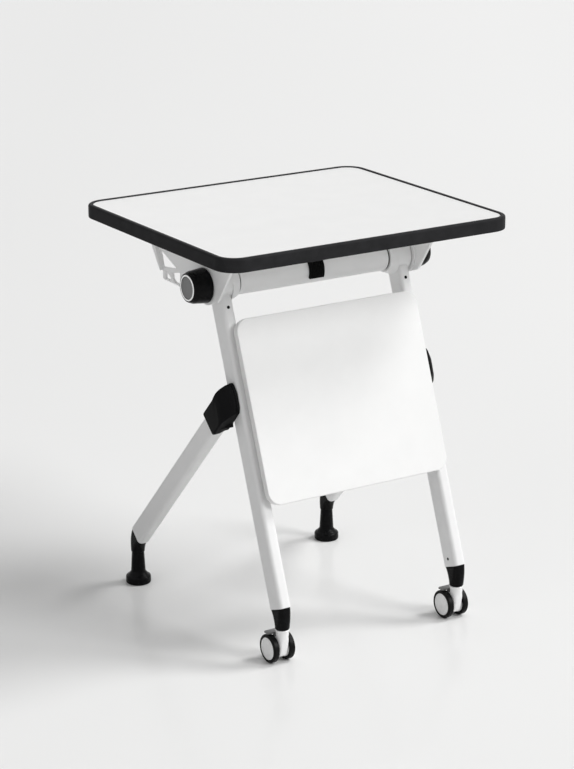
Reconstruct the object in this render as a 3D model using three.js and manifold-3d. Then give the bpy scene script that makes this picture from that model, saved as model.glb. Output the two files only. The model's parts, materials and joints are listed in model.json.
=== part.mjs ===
// Flip top training table: a tilting top on a four-leg nesting frame with casters and glides.
// Millimetres, +Z up. X runs along the top's width and the modesty panel's side faces -Y.
// The origin is on the floor, below the middle of the table's outer box.
import * as THREE from 'three';
import { mergeVertices } from 'three/addons/utils/BufferGeometryUtils.js';
import Module from 'manifold-3d';

const wasm = await Module();
wasm.setup();

// Clearances and roundness
const GAP = 0.3;
const PLAY = 0.4;
const ROUND_SEGMENTS = 24;
const SMALL_SEGMENTS = 16;
const CORNER_STEPS = 3;
const ARC_STEPS = 6;
const ROUND_EDGE_STEPS = 2;
const TYRE_EDGE_STEPS = 1;
const SOCKET_STEPS = 6;

// Top
const TABLE_HEIGHT = 750;
const TOP_WIDTH = 600;
const TOP_DEPTH = 515;
const TOP_THICKNESS = 25;
const TOP_CORNER_RADIUS = 40;
const EDGE_WIDTH = 8.5;
const EDGE_UPPER_ROUND = 6.5;
const EDGE_LOWER_ROUND = 2.5;

// Tilt axis, below the top and in front of its middle
const PIVOT_DROP = 76;
const PIVOT_FORWARD = 45;
const FLIP_ANGLE = 70;

// Legs: flat-sided tubes, the rear ones bolted to the outer faces of the front ones
const LEG_WIDTH = 25;
const LEG_DEPTH = 40;
const LEG_CORNER = 8;
const LEG_WALL = 1.5;
const LEG_SPIGOT = 42;
const FRONT_LEG_SPACING = 380;
const FRONT_LEG_LEAN = 20.5;
const REAR_LEG_LEAN = 43.2;
const LEG_JOINT_DISTANCE = 213;
const LEG_SIDE_GAP = 1;
const REAR_LEG_BEVEL = 42.6;
const JOINT_BOLT_RADIUS = 4;
const JOINT_BOLT_HEAD = { radius: 7.5, height: 4, edge: 1 };

// Joint cover: walls round the rear leg, and a domed tongue that thins out onto the front leg
const COVER_REACH = 68;
const COVER_SLEEVE = 20;
const COVER_UPPER_WALL = 4.5;
const COVER_LOWER_WALL = 2.7;
const COVER_FACE_INSET = 0.94;
// Layers outwards from the front leg's side. Front edge and shoulder: [across from the front
// leg's front face, along it from the bolt]. Tip, heel and mouth: on the rear leg, below its axis.
const COVER_LAYERS = [
  { out: 0, front: 3.5, shoulder: [16, 37.4], tip: [28.4, 36.5], heel: 46, mouth: 60 },
  { out: 5.7, front: 3.5, shoulder: [16, 37.4], tip: [28.4, 36.5], heel: 46, mouth: 60 },
  { out: 13.2, front: 8, shoulder: [19.3, 34.6], tip: [24.5, 42], heel: 57, mouth: 66.5 },
  { out: 21.2, front: 18.6, shoulder: [25.7, 30], tip: [22.8, 48], heel: 60, mouth: 67.5 },
  { out: 26.2, front: 27.5, shoulder: [33.3, 24.5], tip: [22.8, 48], heel: 60, mouth: 67.5 },
  { out: 28.7, front: 37, shoulder: [43, 17], tip: [22.8, 48], heel: 60, mouth: 67.5 },
];
// From the shoulder and from the front edge to the outline's points between them
const COVER_BROW = { behind: 5.3, below: 5.7 };
const COVER_NOSE_BELOW = 21;
const COVER_CHIN = [{ behind: 1, above: 8 }, { behind: 5, above: 1 }];
const COVER_TIP_RISE = 4;
const COVER_MOUTH_LIFT = 1;

// Beam and the heads that carry it
const BEAM_RADIUS = 26;
const BEAM_WALL = 2;
const BEAM_RING_WIDTH = 2.7;
const BEAM_RING_SUNK = 1;
const HEAD_RADIUS = 30;
const HEAD_LENGTH = 46;
const HEAD_STANDOUT = 4.5;
const HEAD_EDGE = 1.5;
const HEAD_SHELL = 4.2;
const HEAD_END_WALL = 15;
const HEAD_RIM = 2.5;
const HEAD_SPIGOT = { length: 24, wall: 4.5 };
const HEAD_FLARE = { width: 15.5, drop: 6, sunk: 0.4, from: 205, to: 335 };
const BUMPER = { width: 31, thickness: 4.5, from: 203, to: 80 };

// Pivot: a hollow shaft fixed in the head, with a push button that draws a lock pin
const SHAFT_RADIUS = 10;
const SHAFT_BORE = 5.2;
const SHAFT_FLANGE = { radius: 13, width: 6.3 };
const BUSH_WALL = 3.7;
const BRACKET_GAP = 1;
const BRACKET_WEB = 5;
const BRACKET_HUB = { radius: 36, thickness: 8, from: 243, to: 275 };
const BRACKET_FLANGE = { inner: 20, thickness: 6 };
// Outline points as [y, z] from the tilt axis; the flange ends are under the top
const BRACKET_FLANGE_FRONT = -105;
const BRACKET_FLANGE_REAR = 212;
const BRACKET_FRONT_EDGE = [[-83, 36], [-44, -20], [-40.5, -23]];
const BRACKET_STRUT = [[150.5, -5], [155.5, 1.5], [164.5, 14.3], [175, 29.5], [204.4, 72]];
const BRACKET_REAR_EDGE = [[96, -23], [146.5, -22.5], [150.5, -19], ...BRACKET_STRUT];
const BRACKET_STRUT_INSIDE = [[194.4, 72], [166, 33], [158, 20], [151, 0]];
const BRACKET_RIM = 6;
const BRACKET_WINDOWS = [
  [[161, 31.5], [157, 31.2], [104, 9.5], [104.5, 7], [148, 0.5], [151.5, 3]],
  [[141, -5], [137.5, -5.2], [122, -14], [122.5, -18.9], [140.5, -18.6]],
  [[116, -4], [89, 2.5], [89.5, -19.4], [106, -19.2], [115.5, -13.5]],
];
const KNOB = { length: 36.4, innerRadius: 32, outerRadius: 26.5, innerEdge: 2, outerEdge: 4 };
const KNOB_RING = { outerRadius: 23.5, width: 2.8, proud: 0.6 };
const BUTTON = { radius: 20, thickness: 5, crown: 0.6, travel: 5 };
const SPRING = { radius: 14, wire: 0.6, turns: 3, steps: 10, sides: 5 };
const LOCK_PIN = { radius: 3, distance: 22 };
const LOCK_ARM = { width: 10, thickness: 4 };
const LOCK_SLOT_MARGIN = 2;

// Modesty panel, parallel to the front legs
const PANEL_REACH = 2.5;
const PANEL_LENGTH = 333;
const PANEL_THICKNESS = 13;
const PANEL_STANDOFF = 5;
const PANEL_DROP = 71;
const PANEL_CORNER = 25;
const PANEL_EDGE = 1.5;
const PANEL_RAIL = { width: 12, length: 240 };

// Twin-wheel casters under the front legs
const WHEEL_RADIUS = 26.3;
const WHEEL_WIDTH = 11.3;
const TYRE_THICKNESS = 5.5;
const TYRE_ROUND = 3;
const CASTER_TRAIL = 16;
const CASTER_HEADROOM = 13;
const CASTER_BODY = { width: 20, inset: 4.5, floor: 12, neckRadius: 11.5, neckLength: 20 };
const CASTER_COLLAR = { radius: 12.8, height: 2.5 };
const CASTER_FORK = { from: 190, to: 465 };
const CASTER_STEM = { radius: 5.5, sunk: 15, raised: 30 };
const AXLE_RADIUS = 3;
const AXLE_END_GAP = 2;
const WHEEL_SIDE_GAP = 0.6;
const HUB_CAP_THICKNESS = 1.8;
const HUB_BEVEL = { width: 1, drop: 2 };
const CASTER_SOCKET = { radius: 13, round: 2, straight: 22, run: 15.6 };
const BRAKE = { length: 16, thickness: 2.8, lift: 1.2, trunnion: 3, stem: 5, ahead: 1 };

// Levelling glides under the rear legs
const GLIDE_BASE = { radius: 24, height: 14, edge: 1.5 };
const GLIDE_COLUMN = { footRadius: 14, headRadius: 11.8, flare: 9 };
const GLIDE_HEIGHT = 63;
const GLIDE_SOCKET = { radius: 13, round: 1, straight: 25, run: 17.2 };
const STUD = { radius: 4, sunk: 32, raised: 22 };

// Places worked out from the sizes above
const rad = THREE.MathUtils.degToRad;
const UNDERSIDE_Z = TABLE_HEIGHT - TOP_THICKNESS;
const PIVOT = new THREE.Vector3(0, -PIVOT_FORWARD, UNDERSIDE_Z - PIVOT_DROP);
const FRONT_LEG_X = FRONT_LEG_SPACING / 2;
const REAR_LEG_X = FRONT_LEG_X + LEG_WIDTH + LEG_SIDE_GAP;
const FRONT_DOWN = new THREE.Vector3(0, -Math.sin(rad(FRONT_LEG_LEAN)), -Math.cos(rad(FRONT_LEG_LEAN)));
const REAR_DOWN = new THREE.Vector3(0, Math.sin(rad(REAR_LEG_LEAN)), -Math.cos(rad(REAR_LEG_LEAN)));
const HEAD_OUTER = FRONT_LEG_X + LEG_WIDTH / 2 + HEAD_STANDOUT;
const HEAD_INNER = HEAD_OUTER - HEAD_LENGTH;
const BEAM_HALF = HEAD_INNER - BEAM_RING_WIDTH - 2 * GAP;
const BUSH_RADIUS = SHAFT_RADIUS + BUSH_WALL;
const BRACKET_INNER = HEAD_OUTER + BRACKET_GAP;
const BRACKET_OUTER = BRACKET_INNER + BRACKET_HUB.thickness;
const KNOB_INNER = BRACKET_OUTER + 2 * GAP;
const KNOB_OUTER = KNOB_INNER + KNOB.length;
const BUTTON_BACK = KNOB_OUTER - BUTTON.thickness - PLAY;
const SPRING_SOLID_LENGTH = 2 * SPRING.wire * (SPRING.turns + 1);
const KNOB_FLOOR = BUTTON_BACK - BUTTON.travel - SPRING_SOLID_LENGTH;
const LOCK_PIN_END = BRACKET_INNER + BUTTON.travel - BRACKET_GAP / 2;
const HEAD_CAVITY_END = HEAD_OUTER - HEAD_END_WALL;
const LEG_JOINT = PIVOT.clone().addScaledVector(FRONT_DOWN, LEG_JOINT_DISTANCE);
const CASTER_HEIGHT = 2 * WHEEL_RADIUS + CASTER_HEADROOM;

// A leg's foot piece runs on along the leg to a corner, then straight down to a round end.
function footPath(legStart, down, socket, endHeight) {
  const cornerHeight = endHeight + socket.straight;
  const cornerDistance = (legStart.z - cornerHeight) / -down.z;
  const corner = legStart.clone().addScaledVector(down, cornerDistance);
  return {
    legLength: cornerDistance - socket.run,
    start: corner.clone().addScaledVector(down, -socket.run),
    corner,
    end: new THREE.Vector3(0, corner.y, endHeight),
  };
}
const FRONT_FOOT = footPath(PIVOT, FRONT_DOWN, CASTER_SOCKET, CASTER_HEIGHT + GAP);
const REAR_FOOT = footPath(LEG_JOINT, REAR_DOWN, GLIDE_SOCKET, GLIDE_HEIGHT + GAP);

// Finishes
function finish(color, roughness, metalness = 0) {
  return new THREE.MeshStandardMaterial({ color, roughness, metalness });
}
const LAMINATE = finish(0xf2f2f0, 0.45);
const BLACK_EDGE = finish(0x1e1e1e, 0.5);
const WHITE_PAINT = finish(0xf0f0ee, 0.4);
const WHITE_NYLON = finish(0xf2f2f2, 0.35);
const BLACK_PLASTIC = finish(0x141414, 0.45);
const BLACK_RUBBER = finish(0x101010, 0.75);
const GREY_PLASTIC = finish(0x7a7a78, 0.45);
const DARK_GREY = finish(0x3a3a3a, 0.5);
const STEEL = finish(0xb8b8b8, 0.35, 1);
const BRIGHT_RING = finish(0xd8d8d8, 0.2, 1);

// Closed three.js geometry to a solid and back, for cuts and joins
function toSolid(geometry) {
  const bare = geometry.clone();
  bare.deleteAttribute('normal');
  bare.deleteAttribute('uv');
  const merged = mergeVertices(bare, 1e-3);
  const vertProperties = new Float32Array(merged.getAttribute('position').array);
  const triVerts = new Uint32Array(merged.index.array);
  const solid = new wasm.Manifold(new wasm.Mesh({ numProp: 3, vertProperties, triVerts }));
  if (solid.volume() >= 0) return solid;
  for (let i = 0; i < triVerts.length; i += 3) {
    [triVerts[i], triVerts[i + 1]] = [triVerts[i + 1], triVerts[i]];
  }
  return new wasm.Manifold(new wasm.Mesh({ numProp: 3, vertProperties, triVerts }));
}

function toGeometry(solid) {
  const mesh = solid.getMesh();
  const geometry = new THREE.BufferGeometry();
  geometry.setAttribute('position', new THREE.BufferAttribute(mesh.vertProperties, 3));
  geometry.setIndex(new THREE.BufferAttribute(mesh.triVerts, 1));
  geometry.computeVertexNormals();
  return geometry;
}

function join(...pieces) {
  return toGeometry(pieces.map(toSolid).reduce((whole, piece) => whole.add(piece)));
}

function cut(base, ...tools) {
  return toGeometry(tools.map(toSolid).reduce((rest, tool) => rest.subtract(tool), toSolid(base)));
}

// Basic forms
function roundedRectangle(width, height, radius, steps = CORNER_STEPS) {
  const points = [];
  [[1, 1], [-1, 1], [-1, -1], [1, -1]].forEach(([sideX, sideY], quarter) => {
    for (let step = 0; step <= steps; step += 1) {
      const angle = (quarter + step / steps) * Math.PI / 2;
      const x = sideX * (width / 2 - radius) + radius * Math.cos(angle);
      const y = sideY * (height / 2 - radius) + radius * Math.sin(angle);
      points.push(new THREE.Vector2(x, y));
    }
  });
  return points;
}

// A skin over rings of equal count, closed by flat ends or, as a loop, onto its first ring
function loft(rings, flat = (point) => new THREE.Vector2(point.x, point.y), loop = false) {
  const count = rings[0].length;
  const index = [];
  const spans = loop ? rings.length : rings.length - 1;
  for (let span = 0; span < spans; span += 1) {
    const low = span * count;
    const high = ((span + 1) % rings.length) * count;
    for (let i = 0; i < count; i += 1) {
      const next = (i + 1) % count;
      index.push(low + i, low + next, high + next, low + i, high + next, high + i);
    }
  }
  if (!loop) {
    const ends = [[rings[0], 0], [rings.at(-1), (rings.length - 1) * count]];
    ends.forEach(([ring, offset], end) => {
      const outline = ring.map(flat);
      const reversed = THREE.ShapeUtils.isClockWise(outline) === (end === 1);
      THREE.ShapeUtils.triangulateShape(outline, []).forEach((corners) => {
        const ordered = reversed ? corners.toReversed() : corners;
        index.push(...ordered.map((corner) => offset + corner));
      });
    });
  }
  const positions = rings.flat().flatMap((point) => point.toArray());
  const geometry = new THREE.BufferGeometry();
  geometry.setAttribute('position', new THREE.Float32BufferAttribute(positions, 3));
  geometry.setIndex(index);
  return geometry;
}

// A round form about the X axis, from [x, radius] points
function turned(profile, segments = ROUND_SEGMENTS) {
  const points = profile.map(([x, radius]) => new THREE.Vector2(radius, x));
  return new THREE.LatheGeometry(points, segments).rotateZ(-Math.PI / 2);
}

function turnedRing(profile, segments = ROUND_SEGMENTS) {
  return turned([...profile, profile[0]], segments);
}

function rodAlongX(radius, from, to, segments = SMALL_SEGMENTS) {
  return turned([[from, 0], [from, radius], [to, radius], [to, 0]], segments);
}

// A round form about the Z axis, from [z, radius] points
function upright(profile, segments = ROUND_SEGMENTS) {
  return turned(profile, segments).rotateY(-Math.PI / 2);
}

function rodAlongZ(radius, from, to, segments = SMALL_SEGMENTS) {
  return rodAlongX(radius, from, to, segments).rotateY(-Math.PI / 2);
}

function block(x, y, z) {
  const size = [x, y, z].map(([from, to]) => to - from);
  const middle = [x, y, z].map(([from, to]) => (from + to) / 2);
  return new THREE.BoxGeometry(...size).translate(...middle);
}

// A flat outline in [y, z], made solid between two X planes
const SIDE_VIEW = new THREE.Matrix4().makeBasis(
  new THREE.Vector3(0, 1, 0),
  new THREE.Vector3(0, 0, 1),
  new THREE.Vector3(1, 0, 0),
);
function sidePlate(shape, from, to) {
  const options = { depth: to - from, bevelEnabled: false, curveSegments: ARC_STEPS };
  return new THREE.ExtrudeGeometry(shape, options).applyMatrix4(SIDE_VIEW).translate(from, 0, 0);
}

function sideShape(points) {
  return new THREE.Shape(points.map(([y, z]) => new THREE.Vector2(y, z)));
}

// Leg sections, grown or shrunk all round by an offset, between two heights on the leg's own axis
function legSection(offset) {
  return roundedRectangle(LEG_WIDTH + 2 * offset, LEG_DEPTH + 2 * offset, LEG_CORNER + offset);
}

function legBar(offset, from, to) {
  const rings = [from, to].map((z) => legSection(offset).map(({ x, y }) => new THREE.Vector3(x, y, z)));
  return loft(rings);
}

function legTube(from, to) {
  const shape = new THREE.Shape(legSection(0));
  shape.holes.push(new THREE.Path(legSection(-LEG_WALL)));
  const options = { depth: to - from, bevelEnabled: false };
  return new THREE.ExtrudeGeometry(shape, options).translate(0, 0, from);
}

// Top and its moulded edge
function topOutline(inset, z) {
  const width = TOP_WIDTH - 2 * inset;
  const depth = TOP_DEPTH - 2 * inset;
  const points = roundedRectangle(width, depth, TOP_CORNER_RADIUS - inset, ARC_STEPS);
  return points.map(({ x, y }) => new THREE.Vector3(x, y, z));
}

function topBoard() {
  return loft([UNDERSIDE_Z, TABLE_HEIGHT].map((z) => topOutline(EDGE_WIDTH + GAP, z)));
}

function edgeBand() {
  const profile = new THREE.Path();
  const [low, high] = [UNDERSIDE_Z, TABLE_HEIGHT];
  profile.moveTo(EDGE_WIDTH, low);
  profile.lineTo(EDGE_LOWER_ROUND, low);
  profile.absarc(EDGE_LOWER_ROUND, low + EDGE_LOWER_ROUND, EDGE_LOWER_ROUND, rad(270), rad(180), true);
  profile.absarc(EDGE_UPPER_ROUND, high - EDGE_UPPER_ROUND, EDGE_UPPER_ROUND, rad(180), rad(90), true);
  profile.lineTo(EDGE_WIDTH, high);
  const points = profile.getPoints(ROUND_EDGE_STEPS);
  return loft(points.map(({ x, y }) => topOutline(x, y)), undefined, true);
}

// Flip bracket: an openwork web with a hub on the tilt axis, a flange under the top and a rimmed strut
function flipBracket() {
  const top = PIVOT_DROP - GAP;
  const webInner = BRACKET_OUTER - BRACKET_WEB;
  const rimOuter = BRACKET_OUTER + BRACKET_RIM;
  const web = sideShape([[BRACKET_FLANGE_FRONT, top], ...BRACKET_FRONT_EDGE]);
  web.absarc(0, 0, BRACKET_HUB.radius, rad(BRACKET_HUB.from), rad(BRACKET_HUB.to), false);
  BRACKET_REAR_EDGE.forEach(([y, z]) => web.lineTo(y, z));
  web.lineTo(BRACKET_STRUT.at(-1)[0], top);
  web.holes.push(...BRACKET_WINDOWS.map(sideShape));
  const flange = block(
    [BRACKET_INNER - BRACKET_FLANGE.inner, rimOuter],
    [BRACKET_FLANGE_FRONT, BRACKET_FLANGE_REAR],
    [top - BRACKET_FLANGE.thickness, top],
  );
  const through = [BRACKET_INNER - GAP, BRACKET_OUTER + GAP];
  return cut(
    join(
      sidePlate(web, webInner, BRACKET_OUTER),
      rodAlongX(BRACKET_HUB.radius, BRACKET_INNER, BRACKET_OUTER, ROUND_SEGMENTS),
      sidePlate(sideShape([...BRACKET_STRUT, ...BRACKET_STRUT_INSIDE]), webInner, rimOuter),
      flange,
    ),
    rodAlongX(BUSH_RADIUS + GAP, ...through, ROUND_SEGMENTS),
    sidePlate(lockSlot(), ...through),
  );
}

// The lock pin rides in a curved slot whose ends are the top's two stops.
function lockSlot() {
  const pinAngle = 90 - FRONT_LEG_LEAN;
  const from = rad(pinAngle - FLIP_ANGLE) - lockSlotEnd();
  const to = rad(pinAngle) + lockSlotEnd();
  const slot = new THREE.Shape();
  slot.absarc(0, 0, LOCK_PIN.distance + LOCK_PIN.radius + PLAY, from, to, false);
  slot.absarc(0, 0, LOCK_PIN.distance - LOCK_PIN.radius - PLAY, to, from, true);
  return slot;
}

function lockSlotEnd() {
  return Math.asin(LOCK_PIN.radius / LOCK_PIN.distance) + rad(LOCK_SLOT_MARGIN);
}

function pivotBush() {
  const [from, to] = [HEAD_OUTER + GAP, BRACKET_OUTER + GAP / 2];
  const inner = SHAFT_RADIUS + GAP;
  return turnedRing([[from, inner], [from, BUSH_RADIUS], [to, BUSH_RADIUS], [to, inner]]);
}

// Beam, its end rings and its bumper, about the tilt axis
function beamTube() {
  const inner = BEAM_RADIUS - BEAM_WALL;
  const [from, to] = [-BEAM_HALF, BEAM_HALF];
  return turnedRing([[from, inner], [from, BEAM_RADIUS], [to, BEAM_RADIUS], [to, inner]]);
}

function beamRing() {
  const from = BEAM_HALF + GAP;
  const to = from + BEAM_RING_WIDTH;
  const inner = BEAM_RADIUS - BEAM_WALL;
  const outer = BEAM_RADIUS - BEAM_RING_SUNK;
  return turnedRing([[from, inner], [from, outer], [to, outer], [to, inner]]);
}

function beamBumper() {
  const saddle = new THREE.Shape();
  const inner = BEAM_RADIUS + GAP;
  saddle.absarc(0, 0, inner + BUMPER.thickness, rad(BUMPER.to), rad(BUMPER.from), false);
  saddle.absarc(0, 0, inner, rad(BUMPER.from), rad(BUMPER.to), true);
  return sidePlate(saddle, -BUMPER.width / 2, BUMPER.width / 2);
}

// Head: a cast collar round the tilt axis with a spigot for the beam and one for the leg
function legHead() {
  const beamSpigot = BEAM_RADIUS - BEAM_WALL - GAP;
  const bore = beamSpigot - HEAD_SPIGOT.wall;
  const spigotEnd = HEAD_INNER - HEAD_SPIGOT.length;
  const collar = turned([
    [spigotEnd, 0],
    [spigotEnd, beamSpigot],
    [HEAD_INNER, beamSpigot],
    [HEAD_INNER, HEAD_RADIUS - HEAD_EDGE],
    [HEAD_INNER + HEAD_EDGE, HEAD_RADIUS],
    [HEAD_OUTER - HEAD_EDGE, HEAD_RADIUS],
    [HEAD_OUTER, HEAD_RADIUS - HEAD_EDGE],
    [HEAD_OUTER, 0],
  ]);
  const cavity = turned([
    [spigotEnd - GAP, 0],
    [spigotEnd - GAP, bore],
    [HEAD_INNER + HEAD_RIM, bore],
    [HEAD_INNER + HEAD_RIM, HEAD_RADIUS - HEAD_SHELL],
    [HEAD_CAVITY_END, HEAD_RADIUS - HEAD_SHELL],
    [HEAD_CAVITY_END, SHAFT_RADIUS + GAP],
    [HEAD_OUTER + GAP, SHAFT_RADIUS + GAP],
    [HEAD_OUTER + GAP, 0],
  ]);
  const spigotTop = -HEAD_RADIUS / 2;
  const legSpigot = legBar(-LEG_WALL - GAP, -HEAD_RADIUS - LEG_SPIGOT, spigotTop);
  const pinHole = rodAlongX(LOCK_PIN.radius + PLAY, HEAD_INNER, HEAD_OUTER + GAP);
  return cut(
    join(collar, legSpigot.translate(FRONT_LEG_X, 0, 0), headFlare()),
    cavity,
    pinHole.translate(0, 0, LOCK_PIN.distance),
  );
}

// The collar's lower half deepens towards the leg.
function headFlare() {
  const outer = FRONT_LEG_X - LEG_WIDTH / 2 - GAP;
  const ring = (x, drop) => {
    const points = [];
    for (let step = 0; step <= 2 * ARC_STEPS; step += 1) {
      const angle = rad(THREE.MathUtils.lerp(HEAD_FLARE.from, HEAD_FLARE.to, step / (2 * ARC_STEPS)));
      points.push(new THREE.Vector3(x, HEAD_RADIUS * Math.cos(angle), HEAD_RADIUS * Math.sin(angle) - drop));
    }
    return points;
  };
  const rings = [ring(outer - HEAD_FLARE.width, -HEAD_FLARE.sunk), ring(outer, HEAD_FLARE.drop)];
  return loft(rings, (point) => new THREE.Vector2(point.y, point.z));
}

// Pivot pieces, about the tilt axis, on the +X end
function pivotShaft() {
  const flangeEnd = HEAD_CAVITY_END - GAP;
  return turnedRing([
    [flangeEnd - SHAFT_FLANGE.width, SHAFT_BORE],
    [flangeEnd - SHAFT_FLANGE.width, SHAFT_FLANGE.radius],
    [flangeEnd, SHAFT_FLANGE.radius],
    [flangeEnd, SHAFT_RADIUS],
    [KNOB_FLOOR, SHAFT_RADIUS],
    [KNOB_FLOOR, SHAFT_BORE],
  ], SMALL_SEGMENTS);
}

function pivotKnob() {
  const seat = KNOB_RING.outerRadius + GAP;
  const pocket = BUTTON.radius + PLAY;
  const ringFloor = KNOB_OUTER + KNOB_RING.proud - KNOB_RING.width - GAP;
  return turnedRing([
    [KNOB_INNER, SHAFT_RADIUS + GAP],
    [KNOB_INNER, KNOB.innerRadius - KNOB.innerEdge],
    [KNOB_INNER + KNOB.innerEdge, KNOB.innerRadius],
    [KNOB_OUTER - 2 * KNOB.outerEdge, KNOB.outerRadius + KNOB.outerEdge / 2],
    [KNOB_OUTER - KNOB.outerEdge / 3, KNOB.outerRadius],
    [KNOB_OUTER, KNOB.outerRadius - KNOB.outerEdge / 3],
    [KNOB_OUTER, seat],
    [ringFloor, seat],
    [ringFloor, pocket],
    [KNOB_FLOOR, pocket],
    [KNOB_FLOOR, SHAFT_RADIUS + GAP],
  ]);
}

function knobRing() {
  const to = KNOB_OUTER + KNOB_RING.proud;
  const from = to - KNOB_RING.width;
  const inner = BUTTON.radius + PLAY;
  return turnedRing([[from, inner], [from, KNOB_RING.outerRadius], [to, KNOB_RING.outerRadius], [to, inner]]);
}

function releaseButton() {
  const face = KNOB_OUTER - PLAY;
  return turned([
    [BUTTON_BACK, 0],
    [BUTTON_BACK, BUTTON.radius],
    [face - BUTTON.crown, BUTTON.radius],
    [face, BUTTON.radius - 2 * BUTTON.crown],
    [face, 0],
  ]);
}

// The coil stands on the knob's pocket floor and bears on the back of the button.
function buttonSpring() {
  const from = KNOB_FLOOR + GAP + SPRING.wire;
  const pitch = (BUTTON_BACK - GAP - SPRING.wire - from) / SPRING.turns;
  const rings = [];
  for (let step = 0; step <= SPRING.turns * SPRING.steps; step += 1) {
    const turn = 2 * Math.PI * step / SPRING.steps;
    const ring = [];
    for (let side = 0; side < SPRING.sides; side += 1) {
      const angle = 2 * Math.PI * side / SPRING.sides;
      const radius = SPRING.radius + SPRING.wire * Math.cos(angle);
      const x = from + pitch * step / SPRING.steps + SPRING.wire * Math.sin(angle);
      ring.push(new THREE.Vector3(x, radius * Math.cos(turn), radius * Math.sin(turn)));
    }
    rings.push(ring);
  }
  return loft(rings);
}

// Lock: a push rod through the shaft, an arm inside the head, and the pin it draws back
function lockYoke() {
  const armEnd = HEAD_CAVITY_END - SHAFT_FLANGE.width - 2 * GAP - PLAY;
  const armStart = armEnd - LOCK_ARM.thickness;
  const half = LOCK_ARM.width / 2;
  const reach = LOCK_PIN.distance;
  return join(
    rodAlongX(SHAFT_BORE - PLAY, armStart, BUTTON_BACK - GAP),
    block([armStart, armEnd], [-half, half], [-half, reach]),
    rodAlongX(LOCK_PIN.radius, armStart, LOCK_PIN_END).translate(0, 0, reach),
  );
}

// Front leg, on its own axis: 0 is the tilt axis and the leg hangs down from it
function frontLeg() {
  const saddle = rodAlongX(HEAD_RADIUS + GAP, -LEG_WIDTH, LEG_WIDTH, ROUND_SEGMENTS);
  const boltHole = rodAlongX(JOINT_BOLT_RADIUS + GAP, -LEG_WIDTH, LEG_WIDTH);
  return cut(
    legTube(-FRONT_FOOT.legLength, 0),
    saddle,
    boltHole.translate(0, 0, -LEG_JOINT_DISTANCE),
  );
}

// Rear leg, on its own axis: 0 is the joint bolt, and the top is cut on a bevel under the cover
function rearLeg() {
  const boltHole = rodAlongX(JOINT_BOLT_RADIUS + GAP, -LEG_WIDTH, 0);
  return cut(legTube(-REAR_FOOT.legLength, LEG_DEPTH), bevelCut(0), boltHole);
}

// Everything in front of an upright plane that runs back from the front leg towards the outside,
// seen in the rear leg's frame
function bevelCut(reach) {
  const size = 4 * LEG_DEPTH;
  const slab = block([-size, size], [-size - reach, -reach], [-size, size]);
  return slab.rotateZ(rad(REAR_LEG_BEVEL)).rotateX(rad(-FRONT_LEG_LEAN - REAR_LEG_LEAN));
}

function jointBolt() {
  const headEnd = FRONT_LEG_X - LEG_WIDTH / 2 - GAP;
  const headStart = headEnd - JOINT_BOLT_HEAD.height;
  const tip = REAR_LEG_X - LEG_WIDTH / 4;
  return turned([
    [headStart, 0],
    [headStart, JOINT_BOLT_HEAD.radius - JOINT_BOLT_HEAD.edge],
    [headStart + JOINT_BOLT_HEAD.edge, JOINT_BOLT_HEAD.radius],
    [headEnd, JOINT_BOLT_HEAD.radius],
    [headEnd, JOINT_BOLT_RADIUS],
    [tip, JOINT_BOLT_RADIUS],
    [tip, 0],
  ], SMALL_SEGMENTS);
}

// Joint cover, about the bolt: [across, along] points on the front leg's or the rear leg's axis
function onLeg(down, [across, along]) {
  return [-down.z * across - down.y * along, down.y * across - down.z * along];
}

// Where the cover's lower face, beside the rear leg, meets a line along the front leg
function coverLow(across) {
  const turn = rad(FRONT_LEG_LEAN + REAR_LEG_LEAN);
  const lower = LEG_DEPTH / 2 + COVER_LOWER_WALL;
  return -(lower + (across - LEG_DEPTH / 2) * Math.cos(turn)) / Math.sin(turn);
}

function coverOutline({ front, shoulder, tip, heel, mouth }) {
  const upper = LEG_DEPTH / 2 + COVER_UPPER_WALL;
  const lower = -LEG_DEPTH / 2 - COVER_LOWER_WALL;
  const onFront = (across, along) => onLeg(FRONT_DOWN, [across - LEG_DEPTH / 2, along]);
  const onRear = (across, along) => onLeg(REAR_DOWN, [across, along]);
  return [
    onRear(upper, -COVER_REACH),
    onRear(upper, -COVER_SLEEVE),
    onFront(...shoulder),
    onFront(front + COVER_BROW.behind, shoulder[1] - COVER_BROW.below),
    onFront(front, shoulder[1] - COVER_NOSE_BELOW),
    ...COVER_CHIN.map(({ behind, above }) => onFront(front + behind, coverLow(front + behind) + above)),
    onRear(lower, COVER_TIP_RISE - tip[1]),
    onRear(-tip[0], -tip[1]),
    onRear(lower, -heel),
    onRear(lower + COVER_MOUTH_LIFT, -mouth),
  ];
}

function jointCover() {
  const inner = FRONT_LEG_X + LEG_WIDTH / 2 + GAP;
  const middle = onLeg(REAR_DOWN, [0, -COVER_REACH / 3]);
  const rings = COVER_LAYERS.map((layer, i) => {
    const scale = i === COVER_LAYERS.length - 1 ? COVER_FACE_INSET : 1;
    return coverOutline(layer).map((point) => {
      const [y, z] = point.map((value, axis) => THREE.MathUtils.lerp(middle[axis], value, scale));
      return new THREE.Vector3(inner + layer.out, y, z);
    });
  });
  const shell = loft(rings, (point) => new THREE.Vector2(point.y, point.z));
  const bar = legBar(GAP, -2 * COVER_REACH, LEG_DEPTH);
  const pocket = cut(join(bar, bar.clone().translate(-LEG_WIDTH / 2, 0, 0)), bevelCut(GAP));
  return cut(shell, pocket.rotateX(rad(REAR_LEG_LEAN)).translate(REAR_LEG_X, 0, 0));
}

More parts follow.
